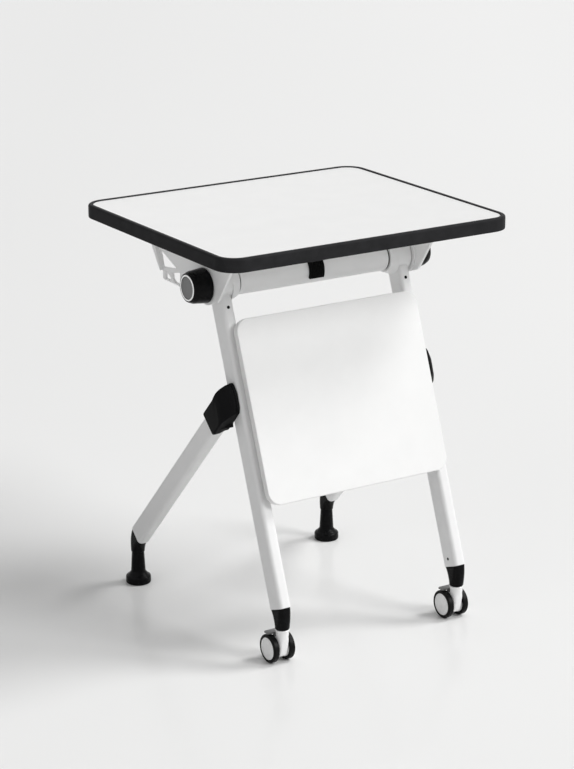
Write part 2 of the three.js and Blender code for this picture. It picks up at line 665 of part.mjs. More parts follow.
// Modesty panel and the rails that hold it, in the front legs' plane
function modestyPanel() {
  const width = 2 * (FRONT_LEG_X + PANEL_REACH);
  const back = -LEG_DEPTH / 2 - PANEL_STANDOFF;
  const front = back - PANEL_THICKNESS;
  const layers = [[PANEL_EDGE, front], [0, front + PANEL_EDGE], [0, back - PANEL_EDGE], [PANEL_EDGE, back]];
  const rings = layers.map(([inset, y]) => {
    const sheet = [width - 2 * inset, PANEL_LENGTH - 2 * inset, PANEL_CORNER - inset];
    return roundedRectangle(...sheet, ARC_STEPS).map((point) => {
      return new THREE.Vector3(point.x, y, point.y - PANEL_DROP - PANEL_LENGTH / 2);
    });
  });
  return loft(rings, (point) => new THREE.Vector2(point.x, point.z));
}

function panelRail() {
  const middle = -PANEL_DROP - PANEL_LENGTH / 2;
  const legFront = -LEG_DEPTH / 2;
  return block(
    [FRONT_LEG_X - PANEL_RAIL.width, FRONT_LEG_X],
    [legFront - PANEL_STANDOFF + GAP, legFront - GAP],
    [middle - PANEL_RAIL.length / 2, middle + PANEL_RAIL.length / 2],
  );
}

// Foot sockets: the leg's section turns round and upright along a bent path
function footSocket(path, down, socket) {
  const bend = new THREE.QuadraticBezierCurve3(path.start, path.corner, path.end);
  const rings = [];
  for (let step = 0; step < SOCKET_STEPS; step += 1) {
    const t = step / SOCKET_STEPS;
    rings.push(socketRing(bend.getPoint(t), bend.getTangent(t), socket.radius, t));
  }
  const straightDown = new THREE.Vector3(0, 0, -1);
  const lip = path.end.clone().setZ(path.end.z - GAP + socket.round);
  rings.push(socketRing(lip, straightDown, socket.radius, 1));
  rings.push(socketRing(path.end, straightDown, socket.radius - socket.round, 1));
  rings[0] = rings[0].map((point) => point.clone().addScaledVector(down, GAP));

  const lean = Math.atan2(down.y, -down.z);
  const spigot = legBar(-LEG_WALL - GAP, -LEG_WALL, LEG_SPIGOT).rotateX(lean);
  return join(loft(rings), spigot.translate(path.start.x, path.start.y, path.start.z));
}

// A ring across the path, blended from the leg's section at 0 to a circle at 1
function socketRing(centre, along, radius, blend) {
  const mix = THREE.MathUtils.lerp;
  const width = mix(LEG_WIDTH, 2 * radius, blend);
  const depth = mix(LEG_DEPTH, 2 * radius, blend);
  const corner = Math.min(mix(LEG_CORNER, radius, blend), width / 2, depth / 2);
  const across = new THREE.Vector3(0, -along.z, along.y);
  return roundedRectangle(width, depth, corner).map(({ x, y }) => {
    return centre.clone().addScaledVector(across, y).add(new THREE.Vector3(x, 0, 0));
  });
}

function casterSocket() {
  const [low, high] = [CASTER_HEIGHT - GAP, CASTER_HEIGHT + CASTER_STEM.raised + 2 * GAP];
  const bore = rodAlongZ(CASTER_STEM.radius + GAP, low, high).translate(0, FRONT_FOOT.end.y, 0);
  return cut(footSocket(FRONT_FOOT, FRONT_DOWN, CASTER_SOCKET), bore);
}

function glideSocket() {
  const [low, high] = [GLIDE_HEIGHT - GAP, GLIDE_HEIGHT + STUD.raised + 2 * GAP];
  const bore = rodAlongZ(STUD.radius + PLAY, low, high).translate(0, REAR_FOOT.end.y, 0);
  return cut(footSocket(REAR_FOOT, REAR_DOWN, GLIDE_SOCKET), bore);
}

// Caster pieces, about the swivel axis: the wheels trail towards +Y
const AXLE = [CASTER_TRAIL, WHEEL_RADIUS];
const WHEEL_INNER = CASTER_BODY.width / 2 + WHEEL_SIDE_GAP;
const WHEEL_OUTER = WHEEL_INNER + WHEEL_WIDTH;
const BRAKE_HINGE = [CASTER_TRAIL - BRAKE.ahead, 2 * WHEEL_RADIUS - CASTER_BODY.inset];

function casterBody() {
  const half = CASTER_BODY.width / 2;
  const { neckRadius, neckLength, floor, inset } = CASTER_BODY;
  const neckTop = CASTER_HEIGHT - GAP;
  const fork = new THREE.Shape();
  fork.moveTo(-neckRadius, neckTop - neckLength / 2);
  fork.absarc(...AXLE, WHEEL_RADIUS - inset, rad(CASTER_FORK.from), rad(CASTER_FORK.to), false);
  fork.lineTo(neckRadius, neckTop - neckLength / 2);
  const neck = upright([
    [neckTop - neckLength, 0],
    [neckTop - neckLength, half],
    [neckTop - neckLength / 2, neckRadius],
    [neckTop - 2 * CASTER_COLLAR.height, neckRadius],
    [neckTop - CASTER_COLLAR.height, CASTER_COLLAR.radius],
    [neckTop, CASTER_COLLAR.radius],
    [neckTop, 0],
  ], SMALL_SEGMENTS);
  const keel = block([-half, half], [-2 * WHEEL_RADIUS, 3 * WHEEL_RADIUS], [-GAP, floor]);
  const stemBore = rodAlongZ(CASTER_STEM.radius + GAP, CASTER_HEIGHT - CASTER_STEM.sunk - GAP, CASTER_HEIGHT);
  const axleBore = rodAlongX(AXLE_RADIUS + GAP, -half - GAP, half + GAP).translate(0, ...AXLE);
  const hingeSeat = rodAlongX(BRAKE.trunnion + GAP, -half - GAP, half + GAP).translate(0, ...BRAKE_HINGE);
  return cut(join(sidePlate(fork, -half, half), neck), keel, stemBore, axleBore, hingeSeat);
}

function casterStem() {
  return rodAlongZ(CASTER_STEM.radius, CASTER_HEIGHT - CASTER_STEM.sunk, CASTER_HEIGHT + CASTER_STEM.raised);
}

function casterAxle() {
  const end = WHEEL_OUTER - HUB_CAP_THICKNESS - AXLE_END_GAP;
  return rodAlongX(AXLE_RADIUS, -end, end).translate(0, ...AXLE);
}

function wheelTyre() {
  const inner = WHEEL_RADIUS - TYRE_THICKNESS;
  const round = new THREE.Path();
  round.moveTo(WHEEL_INNER, inner);
  round.lineTo(WHEEL_INNER, WHEEL_RADIUS - TYRE_ROUND);
  round.absarc(WHEEL_INNER + TYRE_ROUND, WHEEL_RADIUS - TYRE_ROUND, TYRE_ROUND, rad(180), rad(90), true);
  round.absarc(WHEEL_OUTER - TYRE_ROUND, WHEEL_RADIUS - TYRE_ROUND, TYRE_ROUND, rad(90), 0, true);
  round.lineTo(WHEEL_OUTER, inner);
  const profile = round.getPoints(TYRE_EDGE_STEPS).map(({ x, y }) => [x, y]);
  return turnedRing(profile).translate(0, ...AXLE);
}

function wheelHub() {
  const radius = WHEEL_RADIUS - TYRE_THICKNESS - GAP;
  const bore = AXLE_RADIUS + GAP;
  const capInside = WHEEL_OUTER - HUB_CAP_THICKNESS;
  return turned([
    [capInside, 0],
    [capInside, bore],
    [WHEEL_INNER, bore],
    [WHEEL_INNER, radius],
    [WHEEL_OUTER - HUB_BEVEL.width, radius],
    [WHEEL_OUTER, radius - HUB_BEVEL.drop],
    [WHEEL_OUTER, 0],
  ]).translate(0, ...AXLE);
}

// Brake pedal: a plate over both wheels on trunnions in the caster body
function brakeLever() {
  const [hingeY, hingeZ] = BRAKE_HINGE;
  const half = CASTER_BODY.width / 2 - GAP;
  const low = 2 * WHEEL_RADIUS + BRAKE.lift;
  const front = hingeY - BRAKE.stem / 2;
  return join(
    rodAlongX(BRAKE.trunnion, -half, half).translate(0, hingeY, hingeZ),
    block([-half, half], [front, front + BRAKE.stem], [hingeZ, low + BRAKE.thickness / 2]),
    block([-WHEEL_OUTER, WHEEL_OUTER], [front, front + BRAKE.length], [low, low + BRAKE.thickness]),
  );
}

// Glide pieces, about the glide's own axis
function glideFoot() {
  const { radius, height, edge } = GLIDE_BASE;
  const { footRadius, headRadius, flare } = GLIDE_COLUMN;
  const boreFloor = GLIDE_HEIGHT - STUD.sunk - GAP;
  return upright([
    [0, 0],
    [0, radius - edge],
    [edge, radius],
    [height - edge, radius],
    [height, radius - edge],
    [height + flare / 3, (radius + footRadius) / 2],
    [height + flare, footRadius],
    [GLIDE_HEIGHT, headRadius],
    [GLIDE_HEIGHT, STUD.radius + GAP],
    [boreFloor, STUD.radius + GAP],
    [boreFloor, 0],
  ]);
}

function glideStud() {
  return rodAlongZ(STUD.radius, GLIDE_HEIGHT - STUD.sunk, GLIDE_HEIGHT + STUD.raised);
}

// Assembly
function piece(name, geometry, material) {
  const mesh = new THREE.Mesh(toGeometry(toSolid(geometry)), material);
  mesh.name = name;
  return mesh;
}

function groupAt(place, turn, ...children) {
  const group = new THREE.Group();
  group.position.copy(place);
  group.rotation.x = turn;
  group.add(...children);
  return group;
}

function at(x, y, z = 0) {
  return new THREE.Vector3(x, y, z);
}

// One end of the table, made at +X; the other end is its mirror image
function tableEnd(side) {
  const wheels = [['inner', -1], ['outer', 1]].map(([name, mirror]) => {
    const wheel = groupAt(
      at(0, 0),
      0,
      piece(`caster_tyre_${side}_${name}`, wheelTyre(), BLACK_RUBBER),
      piece(`caster_hub_${side}_${name}`, wheelHub(), WHITE_NYLON),
    );
    wheel.scale.x = mirror;
    return wheel;
  });
  const end = new THREE.Group();
  end.add(
    groupAt(
      PIVOT,
      0,
      piece(`flip_bracket_${side}`, flipBracket(), WHITE_PAINT),
      piece(`pivot_bush_${side}`, pivotBush(), DARK_GREY),
      piece(`beam_ring_${side}`, beamRing(), DARK_GREY),
    ),
    groupAt(
      PIVOT,
      rad(-FRONT_LEG_LEAN),
      piece(`leg_head_${side}`, legHead(), WHITE_PAINT),
      piece(`front_leg_${side}`, frontLeg().translate(FRONT_LEG_X, 0, 0), WHITE_PAINT),
      piece(`joint_bolt_${side}`, jointBolt().translate(0, 0, -LEG_JOINT_DISTANCE), STEEL),
      piece(`panel_rail_${side}`, panelRail(), WHITE_PAINT),
      piece(`pivot_shaft_${side}`, pivotShaft(), STEEL),
      piece(`pivot_knob_${side}`, pivotKnob(), BLACK_PLASTIC),
      piece(`knob_ring_${side}`, knobRing(), BRIGHT_RING),
      piece(`release_button_${side}`, releaseButton(), GREY_PLASTIC),
      piece(`button_spring_${side}`, buttonSpring(), STEEL),
      piece(`lock_yoke_${side}`, lockYoke(), STEEL),
    ),
    groupAt(LEG_JOINT, 0, piece(`joint_cover_${side}`, jointCover(), BLACK_PLASTIC)),
    groupAt(
      LEG_JOINT.clone().setX(REAR_LEG_X),
      rad(REAR_LEG_LEAN),
      piece(`rear_leg_${side}`, rearLeg(), WHITE_PAINT),
    ),
    groupAt(at(FRONT_LEG_X, 0), 0, piece(`caster_socket_${side}`, casterSocket(), BLACK_PLASTIC)),
    groupAt(at(REAR_LEG_X, 0), 0, piece(`glide_socket_${side}`, glideSocket(), BLACK_PLASTIC)),
    groupAt(
      at(FRONT_LEG_X, FRONT_FOOT.end.y),
      0,
      piece(`caster_body_${side}`, casterBody(), WHITE_NYLON),
      piece(`caster_stem_${side}`, casterStem(), STEEL),
      piece(`caster_axle_${side}`, casterAxle(), STEEL),
      piece(`brake_lever_${side}`, brakeLever(), DARK_GREY),
      ...wheels,
    ),
    groupAt(
      at(REAR_LEG_X, REAR_FOOT.end.y),
      0,
      piece(`glide_foot_${side}`, glideFoot(), BLACK_PLASTIC),
      piece(`glide_stud_${side}`, glideStud(), STEEL),
    ),
  );
  return end;
}

const rightEnd = tableEnd('right');
const leftEnd = tableEnd('left');
leftEnd.scale.x = -1;

const table = new THREE.Group();
table.add(
  piece('top_board', topBoard(), LAMINATE),
  piece('edge_band', edgeBand(), BLACK_EDGE),
  groupAt(
    PIVOT,
    0,
    piece('beam_tube', beamTube(), WHITE_PAINT),
    piece('beam_bumper', beamBumper(), BLACK_RUBBER),
  ),
  groupAt(PIVOT, rad(-FRONT_LEG_LEAN), piece('modesty_panel', modestyPanel(), LAMINATE)),
  rightEnd,
  leftEnd,
);

// The footprint's middle comes to the origin.
const outerBox = new THREE.Box3().setFromObject(table);
const centred = new THREE.Group();
table.position.y = -(outerBox.min.y + outerBox.max.y) / 2;
centred.add(table);

export default centred;
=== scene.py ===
"""Flip top training table: fine pieces, finishes, floor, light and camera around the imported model.

Metres, +Z up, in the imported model's frame. The right end is made, and the left end is its mirror image.
"""

import json
import math

import bmesh
import bpy
from mathutils import Matrix, Vector
from mathutils.geometry import tessellate_polygon


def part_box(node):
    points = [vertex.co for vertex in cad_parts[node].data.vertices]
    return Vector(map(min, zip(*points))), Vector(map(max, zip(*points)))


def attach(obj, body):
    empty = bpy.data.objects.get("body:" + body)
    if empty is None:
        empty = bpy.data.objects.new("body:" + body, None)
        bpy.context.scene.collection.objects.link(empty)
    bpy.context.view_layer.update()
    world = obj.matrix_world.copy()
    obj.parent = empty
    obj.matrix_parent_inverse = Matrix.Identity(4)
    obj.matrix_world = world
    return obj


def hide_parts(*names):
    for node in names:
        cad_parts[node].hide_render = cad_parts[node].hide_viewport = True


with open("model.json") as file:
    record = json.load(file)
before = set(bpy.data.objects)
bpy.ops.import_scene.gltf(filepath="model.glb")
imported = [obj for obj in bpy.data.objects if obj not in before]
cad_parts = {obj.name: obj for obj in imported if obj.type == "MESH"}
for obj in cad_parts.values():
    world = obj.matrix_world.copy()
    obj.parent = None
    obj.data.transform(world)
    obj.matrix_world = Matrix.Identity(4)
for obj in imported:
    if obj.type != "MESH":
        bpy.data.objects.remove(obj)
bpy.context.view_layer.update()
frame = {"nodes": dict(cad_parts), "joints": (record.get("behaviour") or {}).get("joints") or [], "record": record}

# Smoothness: points round a circle, steps in an arc, and how meshes are closed and shaded
ROUND = 72
SMALL_ROUND = 32
SCREW_ROUND = 36
CORNER_STEPS = 8
RIM_STEPS = 4
SOCKET_STEPS = 20
MERGE_DISTANCE = 1e-6
SMALL_HOLE = 4
SHARP_ANGLE = math.radians(34)
FULL_TURN = 2 * math.pi
# The most of a side that a corner's arc takes, and of a half width that the corners of a round section take
ARC_SHARE = 0.49
ROUND_SHARE = 0.9998

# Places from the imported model
BOXES = {node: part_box(node) for node in frame["nodes"]}


def low(node):
    return BOXES[node][0]


def high(node):
    return BOXES[node][1]


def middle(node):
    return (low(node) + high(node)) / 2


def span(node):
    """A node's ends along X."""
    return low(node).x, high(node).x


def node_width(node):
    return high(node).x - low(node).x


JOINT_PLACES = {joint["name"]: Vector(joint["pos_m"]) for joint in frame["joints"] if "pos_m" in joint}
PIVOT = JOINT_PLACES["top_flip"]
BOLT = middle("joint_bolt_right")
FRONT_LEG_X = middle("front_leg_right").x
REAR_LEG_X = middle("rear_leg_right").x
FRONT_LEAN = math.atan2(PIVOT.y - BOLT.y, PIVOT.z - BOLT.z)

# Clearance between pieces that don't touch
GAP = 0.0003

# Legs and their sockets
LEG_WIDTH = 0.025
LEG_DEPTH = 0.040
LEG_CORNER = 0.008
LEG_WALL = 0.0015
LEG_RIM = 0.0005
REAR_LEG_BEVEL = math.radians(42.6)
SOCKET_INSET = 0.0007
CASTER_SOCKET = {"radius": 0.013, "lip": 0.002, "straight": 0.022, "run": 0.0156}
GLIDE_SOCKET = {"radius": 0.013, "lip": 0.001, "straight": 0.025, "run": 0.0172}


# Outlines
def rounded(corners, closed=True, steps=CORNER_STEPS):
    """Points of an outline of (u, v, radius) corners, with an arc at each corner that has a radius."""
    points = []
    last = len(corners) - 1
    for i, (u, v, radius) in enumerate(corners):
        here = Vector((u, v))
        if radius == 0 or (not closed and i in (0, last)):
            points.append(here)
            continue
        before = Vector(corners[i - 1][:2]) - here
        after = Vector(corners[(i + 1) % (last + 1)][:2]) - here
        half_angle = before.angle(after) / 2
        shorter = min(before.length, after.length)
        reach = min(radius / math.tan(half_angle), ARC_SHARE * shorter)
        bisector = (before.normalized() + after.normalized()).normalized()
        centre = here + bisector * reach / math.cos(half_angle)
        spoke = here + before.normalized() * reach - centre
        sweep = math.copysign(math.pi - 2 * half_angle, -before.cross(after))
        for step in range(steps + 1):
            points.append(centre + Matrix.Rotation(sweep * step / steps, 2) @ spoke)
    return points


def rectangle(width, depth, radius, steps=CORNER_STEPS):
    """A rectangle about its middle with rounded corners, anticlockwise."""
    corners = [(1, 1), (-1, 1), (-1, -1), (1, -1)]
    return rounded([(u * width / 2, v * depth / 2, radius) for u, v in corners], steps=steps)


def arc(radius, start, end, steps):
    """Points on an arc about the origin from one angle to another, in degrees."""
    points = []
    for step in range(steps + 1):
        angle = math.radians(start + (end - start) * step / steps)
        points.append(radius * Vector((math.cos(angle), math.sin(angle))))
    return points


def circle(radius):
    """A circle about the origin, anticlockwise."""
    return arc(radius, 0, 360 - 360 / ROUND, ROUND - 1)


def inset(outline, distance):
    """An anticlockwise outline moved inwards, or a clockwise hole's outline moved outwards."""
    moved_points = []
    for i, here in enumerate(outline):
        arriving = (here - outline[i - 1]).orthogonal().normalized()
        leaving = (outline[(i + 1) % len(outline)] - here).orthogonal().normalized()
        moved_points.append(here + (arriving + leaving) * distance / (1 + arriving.dot(leaving)))
    return moved_points


# Shapes: a list of points and a list of faces
def skin(start, rows, count, loop=False):
    """Faces between rows of points, each row a closed ring."""
    faces = []
    for row in range(rows if loop else rows - 1):
        here = start + row * count
        there = start + (row + 1) % rows * count
        for i in range(count):
            j = (i + 1) % count
            faces.append((here + i, here + j, there + j, there + i))
    return faces


def loft(rings, loop=False):
    """A skin over rings of equal count, closed by flat ends or, as a loop, onto its first ring."""
    count = len(rings[0])
    points = [Vector(point) for ring in rings for point in ring]
    faces = skin(0, len(rings), count, loop)
    if not loop:
        faces.append(tuple(range(count)))
        faces.append(tuple(range(len(points) - count, len(points))))
    return points, faces


def level(outline, z):
    """An outline laid flat at a height."""
    return [Vector((u, v, z)) for u, v in outline]


def turned(profile, ring=False, segments=ROUND):
    """A round form about the X axis from (x, radius) points; a ring's profile closes on itself."""
    points = []
    rows = []
    for x, radius in profile:
        count = segments if radius > MERGE_DISTANCE else 1
        rows.append([len(points) + i for i in range(count)])
        for i in range(count):
            angle = FULL_TURN * i / segments
            points.append(Vector((x, radius * math.cos(angle), radius * math.sin(angle))))
    spans = list(zip(rows, rows[1:]))
    if ring:
        spans.append((rows[-1], rows[0]))
    faces = []
    for here, there in spans:
        for i in range(segments):
            j = (i + 1) % segments
            corners = [here[i % len(here)], here[j % len(here)]]
            corners += [there[j % len(there)], there[i % len(there)]]
            corners = list(dict.fromkeys(corners))
            if len(corners) > 2:
                faces.append(corners)
    return points, faces


def rod(start, end, radius, segments=ROUND):
    """A plain round bar along the X axis."""
    return turned([(start, 0), (start, radius), (end, radius), (end, 0)], segments=segments)


def tube(start, end, inner, outer, ease):
    """A turned ring with eased outer edges."""
    profile = [(start, inner, 0), (start, outer, ease), (end, outer, ease), (end, inner, 0)]
    return turned(rounded(profile), ring=True)


def plate(outlines, bottom, top, rim):
    """A flat plate along Z with rounded rims, from an anticlockwise outline and clockwise holes."""
    layers = []
    for step in range(RIM_STEPS + 1):
        angle = math.pi / 2 * step / RIM_STEPS
        layers.append((bottom + rim * (1 - math.cos(angle)), rim * (1 - math.sin(angle))))
    layers += [(bottom + top - z, reach) for z, reach in reversed(layers)]
    points = []
    faces = []
    ends = ([], [])
    for outline in outlines:
        count = len(outline)
        start = len(points)
        for z, reach in layers:
            points += level(inset(outline, reach), z)
        faces += skin(start, len(layers), count)
        ends[0].extend(range(start, start + count))
        ends[1].extend(range(len(points) - count, len(points)))
    flat_outlines = [level(inset(outline, rim), 0) for outline in outlines]
    for corners in tessellate_polygon(flat_outlines):
        faces += [tuple(end[corner] for corner in corners) for end in ends]
    return points, faces


def moved(shape, *matrices):
    """A shape moved by matrices, the last one first."""
    matrix = Matrix.Identity(4)
    for each in matrices:
        matrix = matrix @ each
    points, faces = shape
    return [matrix @ point for point in points], faces


def shift(x=0.0, y=0.0, z=0.0):
    return Matrix.Translation((x, y, z))


def spin(angle, axis):
    return Matrix.Rotation(angle, 4, axis)


UPRIGHT = spin(-math.pi / 2, "Y")
SIDE_VIEW = Matrix(((0, 0, 1, 0), (1, 0, 0, 0), (0, 1, 0, 0), (0, 0, 0, 1)))
MIRROR_X = Matrix.Diagonal((-1, 1, 1, 1))
FACING_FRONT = spin(math.pi / 2, "X")
FACING_REAR = spin(-math.pi / 2, "X")
FACING_INWARD = spin(-math.pi / 2, "Y")
FACING_DOWN = spin(math.pi, "X")
AT_PIVOT = shift(0, PIVOT.y, PIVOT.z)
AT_BOLT = shift(0, BOLT.y, BOLT.z)
ON_FRONT_LEG = AT_PIVOT @ spin(-FRONT_LEAN, "X")


def made_object(name, shape):
    """A mesh object with outward normals, smooth but for its sharp edges."""
    points, faces = shape
    mesh = bpy.data.meshes.new(name)
    mesh.from_pydata(points, [], faces)
    shell = bmesh.new()
    shell.from_mesh(mesh)
    bmesh.ops.remove_doubles(shell, verts=shell.verts, dist=MERGE_DISTANCE)
    bmesh.ops.holes_fill(shell, edges=shell.edges, sides=SMALL_HOLE)
    bmesh.ops.recalc_face_normals(shell, faces=shell.faces)
    shell.to_mesh(mesh)
    shell.free()
    mesh.shade_smooth()
    mesh.set_sharp_from_angle(angle=SHARP_ANGLE)
    made = bpy.data.objects.new(name, mesh)
    bpy.context.scene.collection.objects.link(made)
    return made


def combined(operation, base, *tools):
    """Closed shapes joined to a base (UNION) or cut out of it (DIFFERENCE)."""
    body = made_object("base", base)
    helpers = [made_object("tool", tool) for tool in tools]
    for helper in helpers:
        modifier = body.modifiers.new("combine", "BOOLEAN")
        modifier.operation = operation
        modifier.solver = "EXACT"
        modifier.object = helper
    result = body.evaluated_get(bpy.context.evaluated_depsgraph_get()).data
    points = [vertex.co.copy() for vertex in result.vertices]
    faces = [tuple(polygon.vertices) for polygon in result.polygons]
    for spent in (body, *helpers):
        bpy.data.meshes.remove(spent.data)
    return points, faces


# Shader nodes
def feed(tree, node, constants, sources):
    """A node with constants in some of its inputs and other nodes' outputs linked to others."""
    for socket, value in constants.items():
        node.inputs[socket].default_value = value
    for socket, output in sources.items():
        tree.links.new(output, node.inputs[socket])
    return node


def new_node(tree, kind, constants=None, sources=None, operation=None):
    """A new shader node with its inputs fed."""
    node = tree.nodes.new("ShaderNode" + kind)
    if operation:
        node.operation = operation
    return feed(tree, node, constants or {}, sources or {})


# Finishes: colour and gloss run over the middle of a noise, and the gloss swings by a share of itself
SLOT_COLOURS = {entry["slot"]: entry["base_color"] for entry in frame["record"]["materials"]}
NOISE_SPAN = (0.3, 0.7)
BROAD_DETAIL = 4
FINE_DETAIL = 2
GLOSS_SWING = 0.15
RELIEF_STRENGTH = 0.6
BRUSHED = (0.2, 1, 1)


def finish(
    slot, roughness, grain, relief, mottle, stretch=(1, 1, 1), shade=1.0, specular=0.5, metallic=0.0,
):
    """A surface with broad mottling in its colour and gloss, and a fine grain in relief.

    grain is the fine texture's size and relief its depth, mottle is (size, share of the colour), and
    shade is the share of the slot's colour.
    """
    look = bpy.data.materials.new(slot)
    look.use_nodes = True
    tree = look.node_tree
    place = new_node(tree, "TexCoord").outputs["Object"]
    scaled = new_node(tree, "Mapping", {"Scale": stretch}, {"Vector": place}).outputs["Vector"]

    def noise(size, detail):
        constants = {"Scale": 1 / size, "Detail": detail}
        return new_node(tree, "TexNoise", constants, {"Vector": scaled}).outputs["Fac"]

    mottle_size, mottle_share = mottle
    broad = noise(mottle_size, BROAD_DETAIL)
    fine = noise(grain, FINE_DETAIL)

    tint = new_node(tree, "ValToRGB", None, {"Fac": broad})
    shares = (1 - mottle_share, 1 + mottle_share)
    for stop, position, share in zip(tint.color_ramp.elements, NOISE_SPAN, shares):
        stop.position = position
        stop.color = (*(min(1, shade * share * value) for value in SLOT_COLOURS[slot]), 1)
    both = new_node(tree, "Math", None, {0: broad, 1: fine}, "ADD")
    gloss = new_node(tree, "MapRange", {
        "From Min": 2 * NOISE_SPAN[0],
        "From Max": 2 * NOISE_SPAN[1],
        "To Min": (1 - GLOSS_SWING) * roughness,
        "To Max": (1 + GLOSS_SWING) * roughness,
    }, {"Value": both.outputs["Value"]})
    bump = new_node(tree, "Bump", {"Distance": relief, "Strength": RELIEF_STRENGTH}, {"Height": fine})
    feed(tree, tree.nodes["Principled BSDF"], {
        "Specular IOR Level": specular,
        "Metallic": metallic,
    }, {
        "Base Color": tint.outputs["Color"],
        "Roughness": gloss.outputs["Result"],
        "Normal": bump.outputs["Normal"],
    })
    return look


LOOKS = {
    "laminate_white": dict(
        roughness=0.34, grain=0.0012, relief=0.00002, mottle=(0.05, 0.012), shade=1.02, specular=0.10,
    ),
    "edge_black": dict(
        roughness=0.32, grain=0.0009, relief=0.00004, mottle=(0.02, 0.12), shade=2.7, specular=0.01,
    ),
    "white_paint": dict(roughness=0.38, grain=0.0014, relief=0.00005, mottle=(0.03, 0.015), shade=0.94),
    "white_nylon": dict(roughness=0.26, grain=0.0010, relief=0.00002, mottle=(0.012, 0.015), shade=1.05),
    "black_plastic": dict(
        roughness=0.27, grain=0.0007, relief=0.00003, mottle=(0.012, 0.12), shade=0.6, specular=0.07,
    ),
    "tyre_black": dict(roughness=0.36, grain=0.0011, relief=0.00008, mottle=(0.008, 0.20), specular=0.08),
    "bumper_rubber": dict(
        roughness=0.62, grain=0.0012, relief=0.00010, mottle=(0.010, 0.15), shade=0.5, specular=0.05,
    ),
    "grey_plastic": dict(roughness=0.42, grain=0.0008, relief=0.00003, mottle=(0.010, 0.05)),
    "dark_plastic": dict(
        roughness=0.45, grain=0.0008, relief=0.00003, mottle=(0.010, 0.10), shade=0.3, specular=0.2,
    ),
    "steel": dict(
        roughness=0.34, grain=0.0010, relief=0.00003, mottle=(0.008, 0.08), stretch=BRUSHED, metallic=1.0,
    ),
    "bright_ring": dict(
        roughness=0.18, grain=0.0008, relief=0.00001, mottle=(0.006, 0.04), stretch=BRUSHED, metallic=1.0,
    ),
}
COVER_LOOK = dict(roughness=0.50, grain=0.0007, relief=0.00004, mottle=(0.012, 0.12), specular=0.05)
PANEL_LOOK = dict(roughness=0.40, grain=0.0012, relief=0.00003, mottle=(0.05, 0.012))
FINISHES = {slot: finish(slot, **look) for slot, look in LOOKS.items()}
COVER_FINISH = finish("black_plastic", **COVER_LOOK)
PANEL_FINISH = finish("laminate_white", **PANEL_LOOK)
for subpart in frame["record"]["subparts"]:
    node_mesh = frame["nodes"][subpart["node"]].data
    node_mesh.materials.clear()
    node_mesh.materials.append(FINISHES[subpart["material_slot"]])


# Shown pieces
def piece(name, shape, slot, body, *nodes, look=None):
    """A shown piece: its mesh, its finish, the body that carries it and the nodes that it stands for."""
    made = made_object(name, shape)
    made.data.materials.append(look or FINISHES[slot])
    made.modifiers.new("flat faces", "WEIGHTED_NORMAL").keep_sharp = True
    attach(made, body)
    if nodes:
        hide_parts(*nodes)


def at_ends(shape):
    """Each side's name with the right end's shape, mirrored for the left."""
    return [("left", moved(shape, MIRROR_X)), ("right", shape)]


def end_pieces(node, shape, slot, body="frame", look=None):
    """A node's piece at both ends of the table, from the right end's shape."""
    for side, placed in at_ends(shape):
        name = node.format(side=side)
        piece(f"{name}_visual", placed, slot, body.format(side=side), name, look=look)


def end_trim(name, shape, slot, body="frame"):
    """A small extra piece at both ends of the table, from the right end's shape."""
    for side, placed in at_ends(shape):
        piece(f"{name}_{side}", placed, slot, body)


# Top and its moulded edge
TOP_CORNER = 0.040
EDGE_WIDTH = 0.0085
EDGE_UPPER_ROUND = 0.0055
EDGE_LOWER_ROUND = 0.0025
EDGE_LIP = 0.0005
BOARD_EASE = 0.0004
BOARD_SUNK = 0.0018


def top_ring(distance, z):
    """The top's outline at a height, moved inwards."""
    size = high("edge_band") - low("edge_band")
    across = size.x - 2 * distance
    depth = size.y - 2 * distance
    outline = rectangle(across, depth, TOP_CORNER - distance, 2 * CORNER_STEPS)
    return [point + Vector((0, middle("edge_band").y, 0)) for point in level(outline, z)]


def edge_band():
    bottom, top = low("edge_band").z, high("edge_band").z
    profile = rounded([
        (EDGE_WIDTH, bottom, 0),
        (0, bottom, EDGE_LOWER_ROUND),
        (0, top, EDGE_UPPER_ROUND),
        (EDGE_WIDTH, top, EDGE_LIP),
    ])
    return loft([top_ring(distance, z) for distance, z in profile], loop=True)


def top_board():
    bottom, top = low("top_board").z, high("top_board").z - BOARD_SUNK
    edge = low("top_board").x - low("edge_band").x
    layers = [(BOARD_EASE, bottom), (0, bottom + BOARD_EASE), (0, top - BOARD_EASE), (BOARD_EASE, top)]
    return loft([top_ring(edge + ease, z) for ease, z in layers])


piece("edge_band_visual", edge_band(), "edge_black", "top", "edge_band")
piece("top_board_visual", top_board(), "laminate_white", "top", "top_board")

# Flip bracket: an openwork casting. Corners as (y, z, radius) from the tilt axis
BRACKET_HUB = 0.0359
BRACKET_HUB_ARC = (243, 275)
BRACKET_HUB_PLAY = 0.001
BRACKET_WEB = 0.005
BRACKET_FLANGE = 0.006
BRACKET_RIM = 0.0010
BRACKET_FILLET = 0.006
BRACKET_OVERLAP = 0.0005
BRACKET_FRONT_EDGE = [(-0.083, 0.036, 0.012), (-0.044, -0.020, 0.006), (-0.0405, -0.023, 0.003)]
BRACKET_FOOT = [(0.096, -0.023, 0.030), (0.1465, -0.0225, 0.004), (0.1505, -0.019, 0.003)]
BRACKET_STRUT = [
    (0.1505, -0.005, 0.006), (0.1555, 0.0015, 0.008), (0.1645, 0.0143, 0.020),
    (0.175, 0.0295, 0.020), (0.2044, 0.072, 0),
]
BRACKET_STRUT_INSIDE = [
    (0.1944, 0.072, 0), (0.166, 0.033, 0.020), (0.158, 0.020, 0.020),
    (0.152, 0.004, 0.010), (0.1485, -0.005, 0.0012),
]
